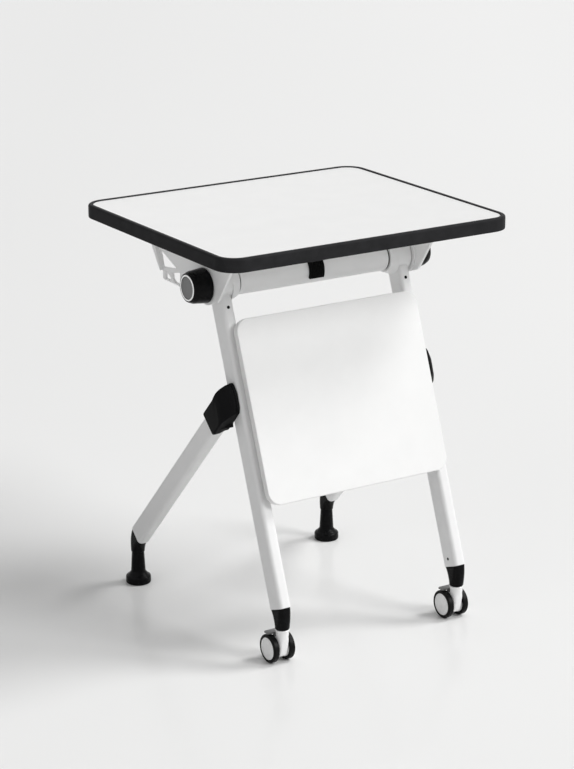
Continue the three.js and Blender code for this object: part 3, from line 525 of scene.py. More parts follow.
BRACKET_WINDOWS = [
    [(0.1615, 0.0325, 0.0025), (0.1508, 0.0003, 0.0022), (0.0995, 0.0072, 0.0013)],
    [
        (0.141, -0.0043, 0.0016), (0.1405, -0.0187, 0.0016),
        (0.1222, -0.0189, 0.0016), (0.122, -0.014, 0.0016),
    ],
    [
        (0.116, -0.004, 0.0016), (0.1155, -0.0135, 0.002), (0.106, -0.0192, 0.002),
        (0.0895, -0.0194, 0.002), (0.089, 0.0025, 0.002),
    ],
]
BRACKET_BORE = 0.014
LOCK_SLOT = {"inner": 0.0186, "outer": 0.0254, "from": -10, "to": 79}
BRACKET_SCREWS = (-0.085, 0.070, 0.195)


def flip_bracket():
    bracket_low, bracket_high = BOXES["flip_bracket_right"]
    hub_inner = high("leg_head_right").x + BRACKET_HUB_PLAY
    web_outer = low("pivot_knob_right").x - 2 * GAP
    web_inner = web_outer - BRACKET_WEB
    front, rear, top = bracket_low.y - PIVOT.y, bracket_high.y - PIVOT.y, bracket_high.z - PIVOT.z
    web_top = top - BRACKET_OVERLAP
    hub_edge = [(*point, 0) for point in arc(BRACKET_HUB, *BRACKET_HUB_ARC, CORNER_STEPS)]
    strut_end = BRACKET_STRUT[-1][0]
    outline = rounded([
        (front, web_top, 0), *BRACKET_FRONT_EDGE, *hub_edge,
        *BRACKET_FOOT, *BRACKET_STRUT, (strut_end, web_top, 0),
    ])
    windows = [rounded(window) for window in BRACKET_WINDOWS]
    web = plate([outline, *windows], web_inner, web_outer, BRACKET_RIM)
    hub = plate([circle(BRACKET_HUB)], hub_inner, web_outer - BRACKET_OVERLAP, BRACKET_RIM)
    strut_outline = inset(rounded(BRACKET_STRUT + BRACKET_STRUT_INSIDE), -BRACKET_OVERLAP / 2)
    strut = plate([strut_outline], web_inner + BRACKET_RIM, bracket_high.x, BRACKET_RIM / 2)
    slot = [
        *arc(LOCK_SLOT["outer"], LOCK_SLOT["from"], LOCK_SLOT["to"], 2 * CORNER_STEPS),
        *arc(LOCK_SLOT["inner"], LOCK_SLOT["to"], LOCK_SLOT["from"], 2 * CORNER_STEPS),
    ]
    openings = []
    for edge in (slot, circle(BRACKET_BORE)):
        openings.append(loft([level(edge, hub_inner - GAP), level(edge, web_outer + GAP)]))

    flange_outline = rectangle(node_width("flip_bracket_right"), rear - front, BRACKET_FILLET)
    flange = moved(
        plate([flange_outline], top - BRACKET_FLANGE, top, BRACKET_RIM),
        shift(middle("flip_bracket_right").x, (front + rear) / 2),
    )
    casting = combined("UNION", *(moved(shape, SIDE_VIEW) for shape in (web, hub, strut)), flange)
    casting = combined("DIFFERENCE", casting, *(moved(shape, SIDE_VIEW) for shape in openings))
    return moved(casting, AT_PIVOT)


end_pieces("flip_bracket_{side}", flip_bracket(), "white_paint", "top")

# Beam, its rings and its bumper
BEAM_RADIUS = 0.026
BEAM_WALL = 0.002
BEAM_EASE = 0.0006
BUMPER = {"inner": 0.0263, "outer": 0.0308, "from": 80, "to": 203, "rim": 0.0008}
# Grooves round the bumper, with the half widths of their mouths and floors as shares of their pitch
BUMPER_GROOVES = {"count": 7, "depth": 0.0007, "mouth": 1 / 4, "floor": 1 / 8}


def beam_bumper():
    """A saddle with fine grooves round it."""
    start, end = span("beam_bumper")
    outer, rim = BUMPER["outer"], BUMPER["rim"]
    groove_floor = outer - BUMPER_GROOVES["depth"]
    pitch = (end - start) / (BUMPER_GROOVES["count"] + 1)
    mouth_half = BUMPER_GROOVES["mouth"] * pitch
    floor_half = BUMPER_GROOVES["floor"] * pitch
    profile = [(start, outer - rim), (start + rim, outer)]
    for number in range(BUMPER_GROOVES["count"]):
        centre = start + (number + 1) * pitch
        profile += [(centre - mouth_half, outer), (centre - floor_half, groove_floor)]
        profile += [(centre + floor_half, groove_floor), (centre + mouth_half, outer)]
    profile += [(end - rim, outer), (end, outer - rim)]

    def section(x, radius):
        outside = arc(radius, BUMPER["from"], BUMPER["to"], 3 * CORNER_STEPS)
        inside = arc(BUMPER["inner"], BUMPER["to"], BUMPER["from"], 3 * CORNER_STEPS)
        return level([*outside, *inside], x)

    return moved(loft([section(*point) for point in profile]), SIDE_VIEW)


beam_bore = BEAM_RADIUS - BEAM_WALL
beam = tube(*span("beam_tube"), beam_bore, BEAM_RADIUS, BEAM_EASE)
ring_radius = high("beam_ring_right").z - PIVOT.z
beam_ring = tube(*span("beam_ring_right"), beam_bore, ring_radius, BEAM_EASE)
piece("beam_tube_visual", moved(beam, AT_PIVOT), "white_paint", "frame", "beam_tube")
piece("beam_bumper_visual", moved(beam_bumper(), AT_PIVOT), "bumper_rubber", "frame", "beam_bumper")
end_pieces("beam_ring_{side}", moved(beam_ring, AT_PIVOT), "dark_plastic")

# Head: a cast collar that deepens towards the leg
HEAD_RADIUS = 0.030
HEAD_LENGTH = 0.046
HEAD_EDGE = 0.0025
HEAD_SPIGOT = {"radius": 0.0237, "bore": 0.0192, "length": 0.024}
HEAD_BORE = 0.0103
HEAD_RECESS = {"radius": 0.0258, "depth": 0.015, "rim": 0.0025}
HEAD_FLARE = {"width": 0.0155, "drop": 0.006, "sunk": 0.0005}
PIN_HOLE = {"radius": 0.0034, "distance": 0.022}


def leg_head():
    outer = high("leg_head_right").x
    inner = outer - HEAD_LENGTH
    spigot_end = inner - HEAD_SPIGOT["length"]
    collar = turned(rounded([
        (spigot_end, 0, 0),
        (spigot_end, HEAD_SPIGOT["radius"], 0),
        (inner, HEAD_SPIGOT["radius"], 0),
        (inner, HEAD_RADIUS, HEAD_EDGE),
        (outer, HEAD_RADIUS, HEAD_EDGE),
        (outer, 0, 0),
    ], closed=False))
    cavity = turned([
        (spigot_end - GAP, 0),
        (spigot_end - GAP, HEAD_SPIGOT["bore"]),
        (inner + HEAD_RECESS["rim"], HEAD_SPIGOT["bore"]),
        (inner + HEAD_RECESS["rim"], HEAD_RECESS["radius"]),
        (outer - HEAD_RECESS["depth"], HEAD_RECESS["radius"]),
        (outer - HEAD_RECESS["depth"], HEAD_BORE),
        (outer + GAP, HEAD_BORE),
        (outer + GAP, 0),
    ])
    pin_hole = rod(inner, outer + GAP, PIN_HOLE["radius"])
    flare_outer = FRONT_LEG_X - LEG_WIDTH / 2 - GAP
    flare = turned([
        (flare_outer - HEAD_FLARE["width"], 0),
        (flare_outer - HEAD_FLARE["width"], HEAD_RADIUS - HEAD_FLARE["sunk"]),
        (flare_outer, HEAD_RADIUS),
        (flare_outer, 0),
    ])
    sloped = Matrix.Identity(4)
    sloped[2][0] = -HEAD_FLARE["drop"] / HEAD_FLARE["width"]
    sloped[2][3] = -sloped[2][0] * (flare_outer - HEAD_FLARE["width"])
    solid = combined("UNION", collar, moved(flare, sloped))
    return combined("DIFFERENCE", solid, cavity, moved(pin_hole, shift(0, 0, PIN_HOLE["distance"])))


end_pieces("leg_head_{side}", moved(leg_head(), ON_FRONT_LEG), "white_paint")

# Knob, its ring and its button, about the tilt axis
KNOB_BASE = {"radius": 0.032, "edge": 0.0025}
KNOB_SHOULDER = {"radius": 0.029, "edge": 0.008, "behind_face": 0.008}
KNOB_FACE = {"radius": 0.0255, "edge": 0.0025}
KNOB_FLOOR_DEPTH = 0.0152
RING_OUTER = 0.0235
BUTTON_RADIUS = 0.020
BUTTON_PLAY = 0.0004
BUTTON_EDGE = 0.0009
BUTTON_DISH = {"radius": 0.0165, "depth": 0.0003}
SHAFT_SEAT = 0.0103


def pivot_knob():
    start, end = span("pivot_knob_right")
    ring_floor = low("knob_ring_right").x - GAP
    pocket = BUTTON_RADIUS + BUTTON_PLAY
    return turned(rounded([
        (start, SHAFT_SEAT, 0),
        (start, KNOB_BASE["radius"], KNOB_BASE["edge"]),
        (end - KNOB_SHOULDER["behind_face"], KNOB_SHOULDER["radius"], KNOB_SHOULDER["edge"]),
        (end, KNOB_FACE["radius"], KNOB_FACE["edge"]),
        (end, RING_OUTER + GAP, 0),
        (ring_floor, RING_OUTER + GAP, 0),
        (ring_floor, pocket, 0),
        (end - KNOB_FLOOR_DEPTH, pocket, 0),
        (end - KNOB_FLOOR_DEPTH, SHAFT_SEAT, 0),
    ]), ring=True)


def knob_ring():
    start, end = span("knob_ring_right")
    pocket = BUTTON_RADIUS + BUTTON_PLAY
    return turned(rounded([
        (start, pocket, 0),
        (start, RING_OUTER, 0),
        (end, RING_OUTER, BUTTON_EDGE),
        (end, pocket, BUTTON_EDGE / 2),
    ]), ring=True)


def release_button():
    start, end = span("release_button_right")
    dish = BUTTON_DISH["radius"]
    floor = end - BUTTON_DISH["depth"]
    return turned(rounded([
        (start, 0, 0),
        (start, BUTTON_RADIUS, 0),
        (end, BUTTON_RADIUS, BUTTON_EDGE),
        (end, dish, BUTTON_EDGE),
        (floor, dish - 2 * BUTTON_DISH["depth"], BUTTON_EDGE),
        (floor, 0, 0),
    ], closed=False))


end_pieces("pivot_knob_{side}", moved(pivot_knob(), AT_PIVOT), "black_plastic")
end_pieces("knob_ring_{side}", moved(knob_ring(), AT_PIVOT), "bright_ring")
end_pieces("release_button_{side}", moved(release_button(), AT_PIVOT), "grey_plastic", "button_{side}")


# Legs, each on its own axis with the leg hanging down along -Z
def foot_path(start, lean, socket, socket_low):
    """Where a leg ends, and the bent path of the foot piece that runs on from it to a level end."""
    corner_z = socket_low + socket["straight"]
    corner_distance = (start.z - corner_z) / math.cos(lean)
    down = Vector((0, math.sin(lean), -math.cos(lean)))
    corner = Vector((0, start.y, start.z)) + corner_distance * down
    return {
        "leg_length": corner_distance - socket["run"],
        "start": corner - socket["run"] * down,
        "corner": corner,
        "end": Vector((0, corner.y, socket_low)),
    }


glide_corner_z = low("glide_socket_right").z + GLIDE_SOCKET["straight"]
REAR_LEAN = math.atan2(middle("glide_stud_right").y - BOLT.y, BOLT.z - glide_corner_z)
FRONT_FOOT = foot_path(PIVOT, -FRONT_LEAN, CASTER_SOCKET, low("caster_socket_right").z)
REAR_FOOT = foot_path(BOLT, REAR_LEAN, GLIDE_SOCKET, low("glide_socket_right").z)
ON_FRONT_LEG_AXIS = ON_FRONT_LEG @ shift(FRONT_LEG_X)
ON_REAR_LEG = shift(REAR_LEG_X, BOLT.y, BOLT.z) @ spin(REAR_LEAN, "X")


def leg_section(growth):
    return rectangle(LEG_WIDTH + 2 * growth, LEG_DEPTH + 2 * growth, LEG_CORNER + growth)


def leg_tube(length, top):
    """A flat-sided tube from its foot up to a top whose height is given across the leg."""
    outer, inner = leg_section(0), leg_section(-LEG_WALL)
    return loft([
        level(leg_section(-LEG_RIM), -length),
        level(outer, LEG_RIM - length),
        [Vector((x, y, top(x, y))) for x, y in outer],
        [Vector((x, y, top(x, y))) for x, y in inner],
        level(inner, -length),
    ], loop=True)


def saddle_height(x, y):
    """The underside of the head's collar, seen along the beam."""
    return -math.sqrt((HEAD_RADIUS + GAP) ** 2 - y**2)


def bevel_height(x, y, reach=0.0):
    """A cut that runs back from the front leg towards the outside, seen on the rear leg's axis."""
    angle = FRONT_LEAN + REAR_LEAN
    across = reach / math.cos(REAR_LEG_BEVEL) - x * math.tan(REAR_LEG_BEVEL)
    return (across + y * math.cos(angle)) / math.sin(angle)


end_pieces(
    "front_leg_{side}",
    moved(leg_tube(FRONT_FOOT["leg_length"], saddle_height), ON_FRONT_LEG_AXIS),
    "white_paint",
)
end_pieces(
    "rear_leg_{side}",
    moved(leg_tube(REAR_FOOT["leg_length"], bevel_height), ON_REAR_LEG),
    "white_paint",
)


# Foot sockets: the leg's section turns round and upright along a bent path
def socket_ring(centre, along, radius, blend):
    """A section across the path, from the leg's at a blend of 0 to a round one at 1."""
    width = (1 - blend) * (LEG_WIDTH - 2 * SOCKET_INSET) + blend * 2 * radius
    depth = (1 - blend) * (LEG_DEPTH - 2 * SOCKET_INSET) + blend * 2 * radius
    corner = min((1 - blend) * LEG_CORNER + blend * radius, ROUND_SHARE * min(width, depth) / 2)
    across = Vector((0, -along.z, along.y)).normalized()
    return [centre + Vector((x, 0, 0)) + y * across for x, y in rectangle(width, depth, corner)]


def foot_socket(path, socket):
    start, corner = path["start"], path["corner"]
    end = path["end"] + Vector((0, 0, socket["lip"]))
    start = start + (corner - start).normalized() * GAP
    rings = []
    for step in range(SOCKET_STEPS + 1):
        t = step / SOCKET_STEPS
        centre = (1 - t) ** 2 * start + 2 * t * (1 - t) * corner + t**2 * end
        along = (1 - t) * (corner - start) + t * (end - corner)
        rings.append(socket_ring(centre, along, socket["radius"], t))
    down = Vector((0, 0, -1))
    for step in range(1, RIM_STEPS + 1):
        angle = math.pi / 2 * step / RIM_STEPS
        centre = end + down * socket["lip"] * math.sin(angle)
        rings.append(socket_ring(centre, down, socket["radius"] - socket["lip"] * (1 - math.cos(angle)), 1))
    return loft(rings)


caster_socket = moved(foot_socket(FRONT_FOOT, CASTER_SOCKET), shift(FRONT_LEG_X))
glide_socket = moved(foot_socket(REAR_FOOT, GLIDE_SOCKET), shift(REAR_LEG_X))
end_pieces("caster_socket_{side}", caster_socket, "black_plastic")
end_pieces("glide_socket_{side}", glide_socket, "black_plastic")

# Joint cover: a dome whose tongue thins out onto the front leg
COVER_REACH = 0.068
COVER_SLEEVE = 0.020
COVER_UPPER_WALL = 0.0045
COVER_LOWER_WALL = 0.0027
COVER_FILLETS = (0.005, 0.016, 0.010, 0.008, 0.012, 0.008, 0.006, 0.006, 0.002, 0.005, 0.006)
COVER_FACE_ROUND = 0.003
# Layers outwards from the front leg's side: (out, front edge, shoulder across, shoulder along), across
# from the front leg's front face and along it from the bolt. The tongue has a lip with a groove beside it.
COVER_LAYERS = [
    (0.0, 0.0043, 0.0166, 0.0366), (0.0008, 0.0035, 0.0160, 0.0374), (0.0049, 0.0035, 0.0160, 0.0374),
    (0.0056, 0.0041, 0.0164, 0.0369), (0.0062, 0.0054, 0.0176, 0.0354), (0.0069, 0.0045, 0.0170, 0.0363),
    (0.0082, 0.0044, 0.0172, 0.0363), (0.0112, 0.0063, 0.0184, 0.0354), (0.0132, 0.0080, 0.0193, 0.0346),
    (0.0152, 0.0102, 0.0206, 0.0336), (0.0182, 0.0142, 0.0230, 0.0319), (0.0212, 0.0186, 0.0257, 0.0300),
    (0.0240, 0.0232, 0.0296, 0.0274), (0.0262, 0.0274, 0.0332, 0.0245), (0.0277, 0.0312, 0.0372, 0.0217),
    (0.0285, 0.0340, 0.0400, 0.0198), (0.0287, 0.0345, 0.0405, 0.0195),
]
# Below the rear leg's axis: (out, tip across, tip along, heel along, mouth along)
COVER_UNDERSIDE = [
    (0.0057, 0.0284, 0.0365, 0.046, 0.0600),
    (0.0132, 0.0245, 0.0420, 0.057, 0.0665),
    (0.0212, 0.0228, 0.0480, 0.060, 0.0675),
]
# From the shoulder and from the front edge to the outline's points between them
COVER_BROW = (0.0053, 0.0057)
COVER_NOSE_BELOW = 0.021
COVER_CHIN = [(0.001, 0.008), (0.005, 0.001)]
COVER_TIP_RISE = 0.004
COVER_MOUTH_LIFT = 0.001


def on_leg(lean, across, along):
    """A point given across and along a leg, as (y, z)."""
    y = across * math.cos(lean) - along * math.sin(lean)
    z = across * math.sin(lean) + along * math.cos(lean)
    return y, z


def cover_underside(out):
    """The underside's tip, heel and mouth at a distance from the front leg's side."""
    rows = COVER_UNDERSIDE
    if out <= rows[0][0]:
        return rows[0][1:]
    for here, there in zip(rows, rows[1:]):
        if out <= there[0]:
            share = (out - here[0]) / (there[0] - here[0])
            return tuple(a + (b - a) * share for a, b in zip(here[1:], there[1:]))
    return rows[-1][1:]


def cover_outline(out, front, shoulder_across, shoulder_along):
    upper = LEG_DEPTH / 2 + COVER_UPPER_WALL
    lower = LEG_DEPTH / 2 + COVER_LOWER_WALL
    tip_across, tip_along, heel, mouth = cover_underside(out)
    angle = FRONT_LEAN + REAR_LEAN

    def on_front(across, along):
        return on_leg(-FRONT_LEAN, across - LEG_DEPTH / 2, along)

    def chin(behind, above):
        across = front + behind
        crossing = -(lower + (across - LEG_DEPTH / 2) * math.cos(angle)) / math.sin(angle)
        return on_front(across, crossing + above)

    corners = [
        on_leg(REAR_LEAN, upper, -COVER_REACH),
        on_leg(REAR_LEAN, upper, -COVER_SLEEVE),
        on_front(shoulder_across, shoulder_along),
        on_front(front + COVER_BROW[0], shoulder_along - COVER_BROW[1]),
        on_front(front, shoulder_along - COVER_NOSE_BELOW),
        *(chin(*point) for point in COVER_CHIN),
        on_leg(REAR_LEAN, -lower, COVER_TIP_RISE - tip_along),
        on_leg(REAR_LEAN, -tip_across, -tip_along),
        on_leg(REAR_LEAN, -lower, -heel),
        on_leg(REAR_LEAN, COVER_MOUTH_LIFT - lower, -mouth),
    ]
    return rounded([(*corner, fillet) for corner, fillet in zip(corners, COVER_FILLETS)])


def joint_cover():
    inner = low("joint_cover_right").x
    face = COVER_LAYERS[-1][0]
    rings = []
    for layer in COVER_LAYERS:
        share = max(0.0, 1 - (face - layer[0]) / COVER_FACE_ROUND)
        outline = inset(cover_outline(*layer), COVER_FACE_ROUND * (1 - math.sqrt(1 - share**2)))
        rings.append([Vector((inner + layer[0], y, z)) for y, z in outline])
    shell = loft(rings)
    on_cover = shift(REAR_LEG_X) @ spin(REAR_LEAN, "X")
    cavities = []
    for offset in (0, -LEG_WIDTH / 2):
        section = [(x + offset, y) for x, y in leg_section(GAP)]
        top = [Vector((x, y, bevel_height(x, y, GAP))) for x, y in section]
        cavities.append(moved(loft([level(section, -2 * COVER_REACH), top]), on_cover))
    return combined("DIFFERENCE", shell, *cavities)


end_pieces("joint_cover_{side}", moved(joint_cover(), AT_BOLT), "black_plastic", look=COVER_FINISH)

# Modesty panel and its rails, on the front legs' axis
PANEL_CORNER = 0.025
PANEL_EDGE = 0.0018
PANEL_STANDOFF = 0.005
PANEL_THICKNESS = 0.013
PANEL_DROP = 0.071
PANEL_LENGTH = 0.333
RAIL_LENGTH = 0.240
RAIL_EDGE = 0.0008


def facing_front(shape, back):
    """A plate turned to stand in the front legs' plane, with its far face at the given depth."""
    return moved(shape, shift(0, back, -PANEL_DROP - PANEL_LENGTH / 2), FACING_FRONT)


panel_outline = rectangle(node_width("modesty_panel"), PANEL_LENGTH, PANEL_CORNER, 2 * CORNER_STEPS)
panel_back = -LEG_DEPTH / 2 - PANEL_STANDOFF
panel = facing_front(plate([panel_outline], 0, PANEL_THICKNESS, PANEL_EDGE), panel_back)
panel = moved(panel, ON_FRONT_LEG)
piece("modesty_panel_visual", panel, "laminate_white", "frame", "modesty_panel", look=PANEL_FINISH)

rail_outline = rectangle(node_width("panel_rail_right"), RAIL_LENGTH, 2 * RAIL_EDGE)
rail = facing_front(plate([rail_outline], 0, PANEL_STANDOFF - 2 * GAP, RAIL_EDGE), -LEG_DEPTH / 2 - GAP)
end_pieces(
    "panel_rail_{side}",
    moved(rail, ON_FRONT_LEG, shift(middle("panel_rail_right").x)),
    "white_paint",
)


# Screws: heads along +Z with a six-sided socket
def screw_head(radius, height, edge, socket, depth, sunk=0.0):
    """A round head from its seat at 0, with a socket of a given half width and depth."""
    angles = [FULL_TURN * i / SCREW_ROUND for i in range(SCREW_ROUND)]
    sixth = FULL_TURN / 6

    def ring(size, z):
        return [Vector((size * math.cos(a), size * math.sin(a), z)) for a in angles]

    def hexagon(size, z):
        reach = [size / math.cos(a % sixth - sixth / 2) for a in angles]
        return [Vector((r * math.cos(a), r * math.sin(a), z)) for a, r in zip(angles, reach)]

    rings = [ring(radius, -sunk)]
    for step in range(RIM_STEPS + 1):
        angle = math.pi / 2 * step / RIM_STEPS
        rings.append(ring(radius - edge * (1 - math.cos(angle)), height - edge * (1 - math.sin(angle))))
    rings += [hexagon(socket, height), hexagon(socket, height - depth)]
    return loft(rings)


JOINT_BOLT_HEAD = {"radius": 0.0075, "height": 0.004, "edge": 0.001, "socket": 0.0026, "depth": 0.0024}
JOINT_BOLT_SHANK = 0.004
SET_SCREW_HEAD = {
    "radius": 0.0030, "height": 0.0003, "edge": 0.0002, "socket": 0.0016, "depth": 0.0002, "sunk": 0.0012,
}
SET_SCREW_ALONG = 0.046
SIDE_SCREW_HEAD = {"radius": 0.0026, "height": 0.0008, "edge": 0.0004, "socket": 0.0012, "depth": 0.0006}
SIDE_SCREW_ALONG = 0.569
PANEL_SCREW_HEAD = {"radius": 0.0042, "height": 0.0020, "edge": 0.0012, "socket": 0.0016, "depth": 0.0012}
PANEL_SCREW_SPACING = 0.090
BRACKET_SCREW_HEAD = {"radius": 0.0048, "height": 0.0026, "edge": 0.0015, "socket": 0.0018, "depth": 0.0014}


def joint_bolt():
    head_start, shank_end = span("joint_bolt_right")
    seat = head_start + JOINT_BOLT_HEAD["height"]
    head = moved(screw_head(**JOINT_BOLT_HEAD), shift(seat), FACING_INWARD)
    return combined("UNION", head, rod(seat - GAP, shank_end, JOINT_BOLT_SHANK))


end_pieces("joint_bolt_{side}", moved(joint_bolt(), AT_BOLT), "steel")

# Set screws: nearly flush black heads. Their darkness is partly the screw's own black and partly painted shade for
# the hole each one sits in, which is not cut
on_leg_front = shift(0, -LEG_DEPTH / 2, -SET_SCREW_ALONG)
set_screw_and_hole_shade = moved(screw_head(**SET_SCREW_HEAD), ON_FRONT_LEG_AXIS, on_leg_front, FACING_FRONT)
end_trim("set_screw_and_hole_shade", set_screw_and_hole_shade, "black_plastic")

on_leg_side = shift(-LEG_WIDTH / 2, 0, -SIDE_SCREW_ALONG)
side_screw = moved(screw_head(**SIDE_SCREW_HEAD), ON_FRONT_LEG_AXIS, on_leg_side, FACING_INWARD)
end_trim("leg_side_screw", side_screw, "dark_plastic")

for number, place in enumerate((-1, 0, 1)):
    along = -PANEL_DROP - PANEL_LENGTH / 2 + place * PANEL_SCREW_SPACING
    on_leg_rear = shift(0, LEG_DEPTH / 2, along)
    panel_screw = moved(screw_head(**PANEL_SCREW_HEAD), ON_FRONT_LEG_AXIS, on_leg_rear, FACING_REAR)
    end_trim(f"panel_screw_{number}", panel_screw, "steel")

flange_x = (low("flip_bracket_right").x + high("leg_head_right").x) / 2
flange_z = high("flip_bracket_right").z - BRACKET_FLANGE
for number, place in enumerate(BRACKET_SCREWS):
    under_flange = shift(flange_x, PIVOT.y + place, flange_z)
    bracket_screw = moved(screw_head(**BRACKET_SCREW_HEAD), under_flange, FACING_DOWN)
    end_trim(f"bracket_screw_{number}", bracket_screw, "steel", "top")

# Casters, about the swivel axis with the wheels trailing towards +Y
SWIVEL = JOINT_PLACES["caster_right_swivel"]
AXLE = middle("caster_axle_right")
BRAKE_HINGE = JOINT_PLACES["brake_right_press"]
WHEEL_RADIUS = AXLE.z
TYRE_THICKNESS = 0.0055
TYRE_ROUND = 0.0035
TYRE_LIP = 0.0005
HUB_EDGE = 0.0010
HUB_GROOVE = {"radius": 0.0172, "width": 0.0008, "depth": 0.0005}
AXLE_BORE = 0.0033
CAP_THICKNESS = 0.0018
FORK_RADIUS = 0.0218
FORK_HALF_WIDTH = 0.010
FORK_TOP_HALF_WIDTH = 0.0103
FORK_CORNER = 0.006
FORK_LEAN_BELOW_AXLE = 0.004
FORK_STEP = 0.002
NECK_RADIUS = 0.0115
NECK_FOOT = 0.0553
NECK_COLLAR = {"radius": 0.0128, "height": 0.0025}
FORK_BLEND_FOOT = 0.042
NECK_EASE = 0.0008
KEEL_EDGE = 0.002
HINGE_SEAT = 0.0033


def wheel_tyre(start, end):
    inner = WHEEL_RADIUS - TYRE_THICKNESS
    return turned(rounded([
        (start, inner, TYRE_LIP),
        (start, WHEEL_RADIUS, TYRE_ROUND),
        (end, WHEEL_RADIUS, TYRE_ROUND),
        (end, inner, TYRE_LIP),
    ]), ring=True)


def wheel_hub(start, end):
    radius = WHEEL_RADIUS - TYRE_THICKNESS - GAP
    groove = HUB_GROOVE["radius"]
    floor = end - HUB_GROOVE["depth"]
    return turned(rounded([
        (end - CAP_THICKNESS, 0, 0),
        (end - CAP_THICKNESS, AXLE_BORE, 0),
        (start, AXLE_BORE, 0),
        (start, radius, HUB_EDGE),
        (end, radius, HUB_EDGE),
        (end, groove + HUB_GROOVE["width"], 0),
        (floor, groove + HUB_GROOVE["width"] / 2, 0),
        (end, groove, 0),
        (end, 0, 0),
    ], closed=False))


def share_of(value, start, end):
    """How far a value has come from a start to an end, from 0 to 1."""
    return min(1, max(0, (value - start) / (end - start)))


def fork_section(z):
    """Front and rear of the fork at a height, from the swivel axis."""
    across_axle = math.sqrt(max(0, FORK_RADIUS**2 - (z - AXLE.z) ** 2))
    trail = AXLE.y - SWIVEL.y
    lean_start = AXLE.z - FORK_LEAN_BELOW_AXLE
    share = share_of(z, lean_start, NECK_FOOT)
    front_low = trail - across_axle
    front_line = (1 - share) * (trail - FORK_RADIUS) - share * NECK_RADIUS
    front = front_line if z > lean_start else front_low
    rear = max(trail + across_axle if z < AXLE.z + FORK_RADIUS else 0, NECK_RADIUS)
    return front, rear


def caster_body():
    """The fork and the neck: level sections from the keel up to the round neck."""
    keel, neck_top = low("caster_body_right").z, high("caster_body_right").z
    rings = []
    for step in range(int((NECK_FOOT - keel) / FORK_STEP)):
        z = keel + FORK_STEP * step
        front, rear = fork_section(z)
        share = share_of(z, FORK_BLEND_FOOT, NECK_FOOT)
        blend = share * share * (3 - 2 * share)
        rear = (1 - blend) * rear + blend * NECK_RADIUS
        half_width = (1 - blend) * FORK_HALF_WIDTH + blend * FORK_TOP_HALF_WIDTH
        corner = (1 - blend) * FORK_CORNER + blend * ROUND_SHARE * half_width
        ease = KEEL_EDGE * (1 - share_of(z, keel, keel + KEEL_EDGE))
        outline = rectangle(2 * (half_width - ease), rear - front - 2 * ease, corner - ease / 2)
        rings.append([point + Vector((0, (front + rear) / 2, 0)) for point in level(outline, z)])
    neck = rectangle(2 * NECK_RADIUS, 2 * NECK_RADIUS, ROUND_SHARE * NECK_RADIUS)
    collar = inset(neck, NECK_RADIUS - NECK_COLLAR["radius"])
    rings += [level(neck, z) for z in (NECK_FOOT, neck_top - 2 * NECK_COLLAR["height"])]
    rings += [level(collar, z) for z in (neck_top - NECK_COLLAR["height"], neck_top - NECK_EASE)]
    rings.append(level(inset(collar, NECK_EASE), neck_top))
    at_hinge = shift(0, BRAKE_HINGE.y - SWIVEL.y, BRAKE_HINGE.z)
    seat = moved(rod(-NECK_RADIUS, NECK_RADIUS, HINGE_SEAT, SMALL_ROUND), at_hinge)
    return combined("DIFFERENCE", loft(rings), seat)


BRAKE = {"thickness": 0.0028, "corner": 0.004, "rim": 0.0011, "trunnion": 0.003, "before_hinge": 0.0025}
BRAKE_STEM = {"side_inset": 0.0005, "depth": 0.0044, "corner": 0.0008, "rim": 0.0002}


def brake_lever():
    """A pedal over both wheels, on a stem and trunnions in the fork."""
    lever_high = high("brake_lever_right")
    length = lever_high.y - BRAKE_HINGE.y + BRAKE["before_hinge"]
    outline = rectangle(node_width("brake_lever_right"), length, BRAKE["corner"])
    pedal = moved(
        plate([outline], lever_high.z - BRAKE["thickness"], lever_high.z, BRAKE["rim"]),
        shift(middle("brake_lever_right").x, lever_high.y - length / 2),
    )
    half = FORK_HALF_WIDTH - GAP
    trunnion = moved(
        rod(-half, half, BRAKE["trunnion"], SMALL_ROUND),
        shift(SWIVEL.x, BRAKE_HINGE.y, BRAKE_HINGE.z),
    )
    stem_width = 2 * (half - BRAKE_STEM["side_inset"])
    stem_outline = rectangle(stem_width, BRAKE_STEM["depth"], BRAKE_STEM["corner"])
    stem = moved(
        plate([stem_outline], BRAKE_HINGE.z, lever_high.z - BRAKE["thickness"] / 2, BRAKE_STEM["rim"]),
        shift(SWIVEL.x, BRAKE_HINGE.y),
    )
    return combined("UNION", pedal, stem, trunnion)


AT_AXLE = shift(0, AXLE.y, AXLE.z)
for wheel_side, facing in (("inner", -1), ("outer", 1)):
    tyre_low, tyre_high = span(f"caster_tyre_right_{wheel_side}")
    tyre = moved(wheel_tyre(tyre_low, tyre_high), AT_AXLE)
    hub_back = tyre_low if facing > 0 else tyre_high
    hub = wheel_hub(0, tyre_high - tyre_low)
    hub = moved(hub, AT_AXLE, shift(hub_back), Matrix.Diagonal((facing, 1, 1, 1)))
    wheel = "wheel_{side}_" + wheel_side
    end_pieces("caster_tyre_{side}_" + wheel_side, tyre, "tyre_black", wheel)
    end_pieces("caster_hub_{side}_" + wheel_side, hub, "white_nylon", wheel)
at_swivel = shift(SWIVEL.x, SWIVEL.y)
end_pieces("caster_body_{side}", moved(caster_body(), at_swivel), "white_nylon", "caster_{side}")
end_pieces("brake_lever_{side}", brake_lever(), "grey_plastic", "brake_{side}")

# Levelling glides
GLIDE = {"radius": 0.024, "base": 0.014, "foot": 0.014, "head": 0.0118, "flare": 0.009}
GLIDE_BORE = {"radius": 0.0043, "depth": 0.032}
GLIDE_ROUNDS = {"floor": 0.003, "base": 0.0045, "flare": 0.004, "foot": 0.006, "head": 0.0008}


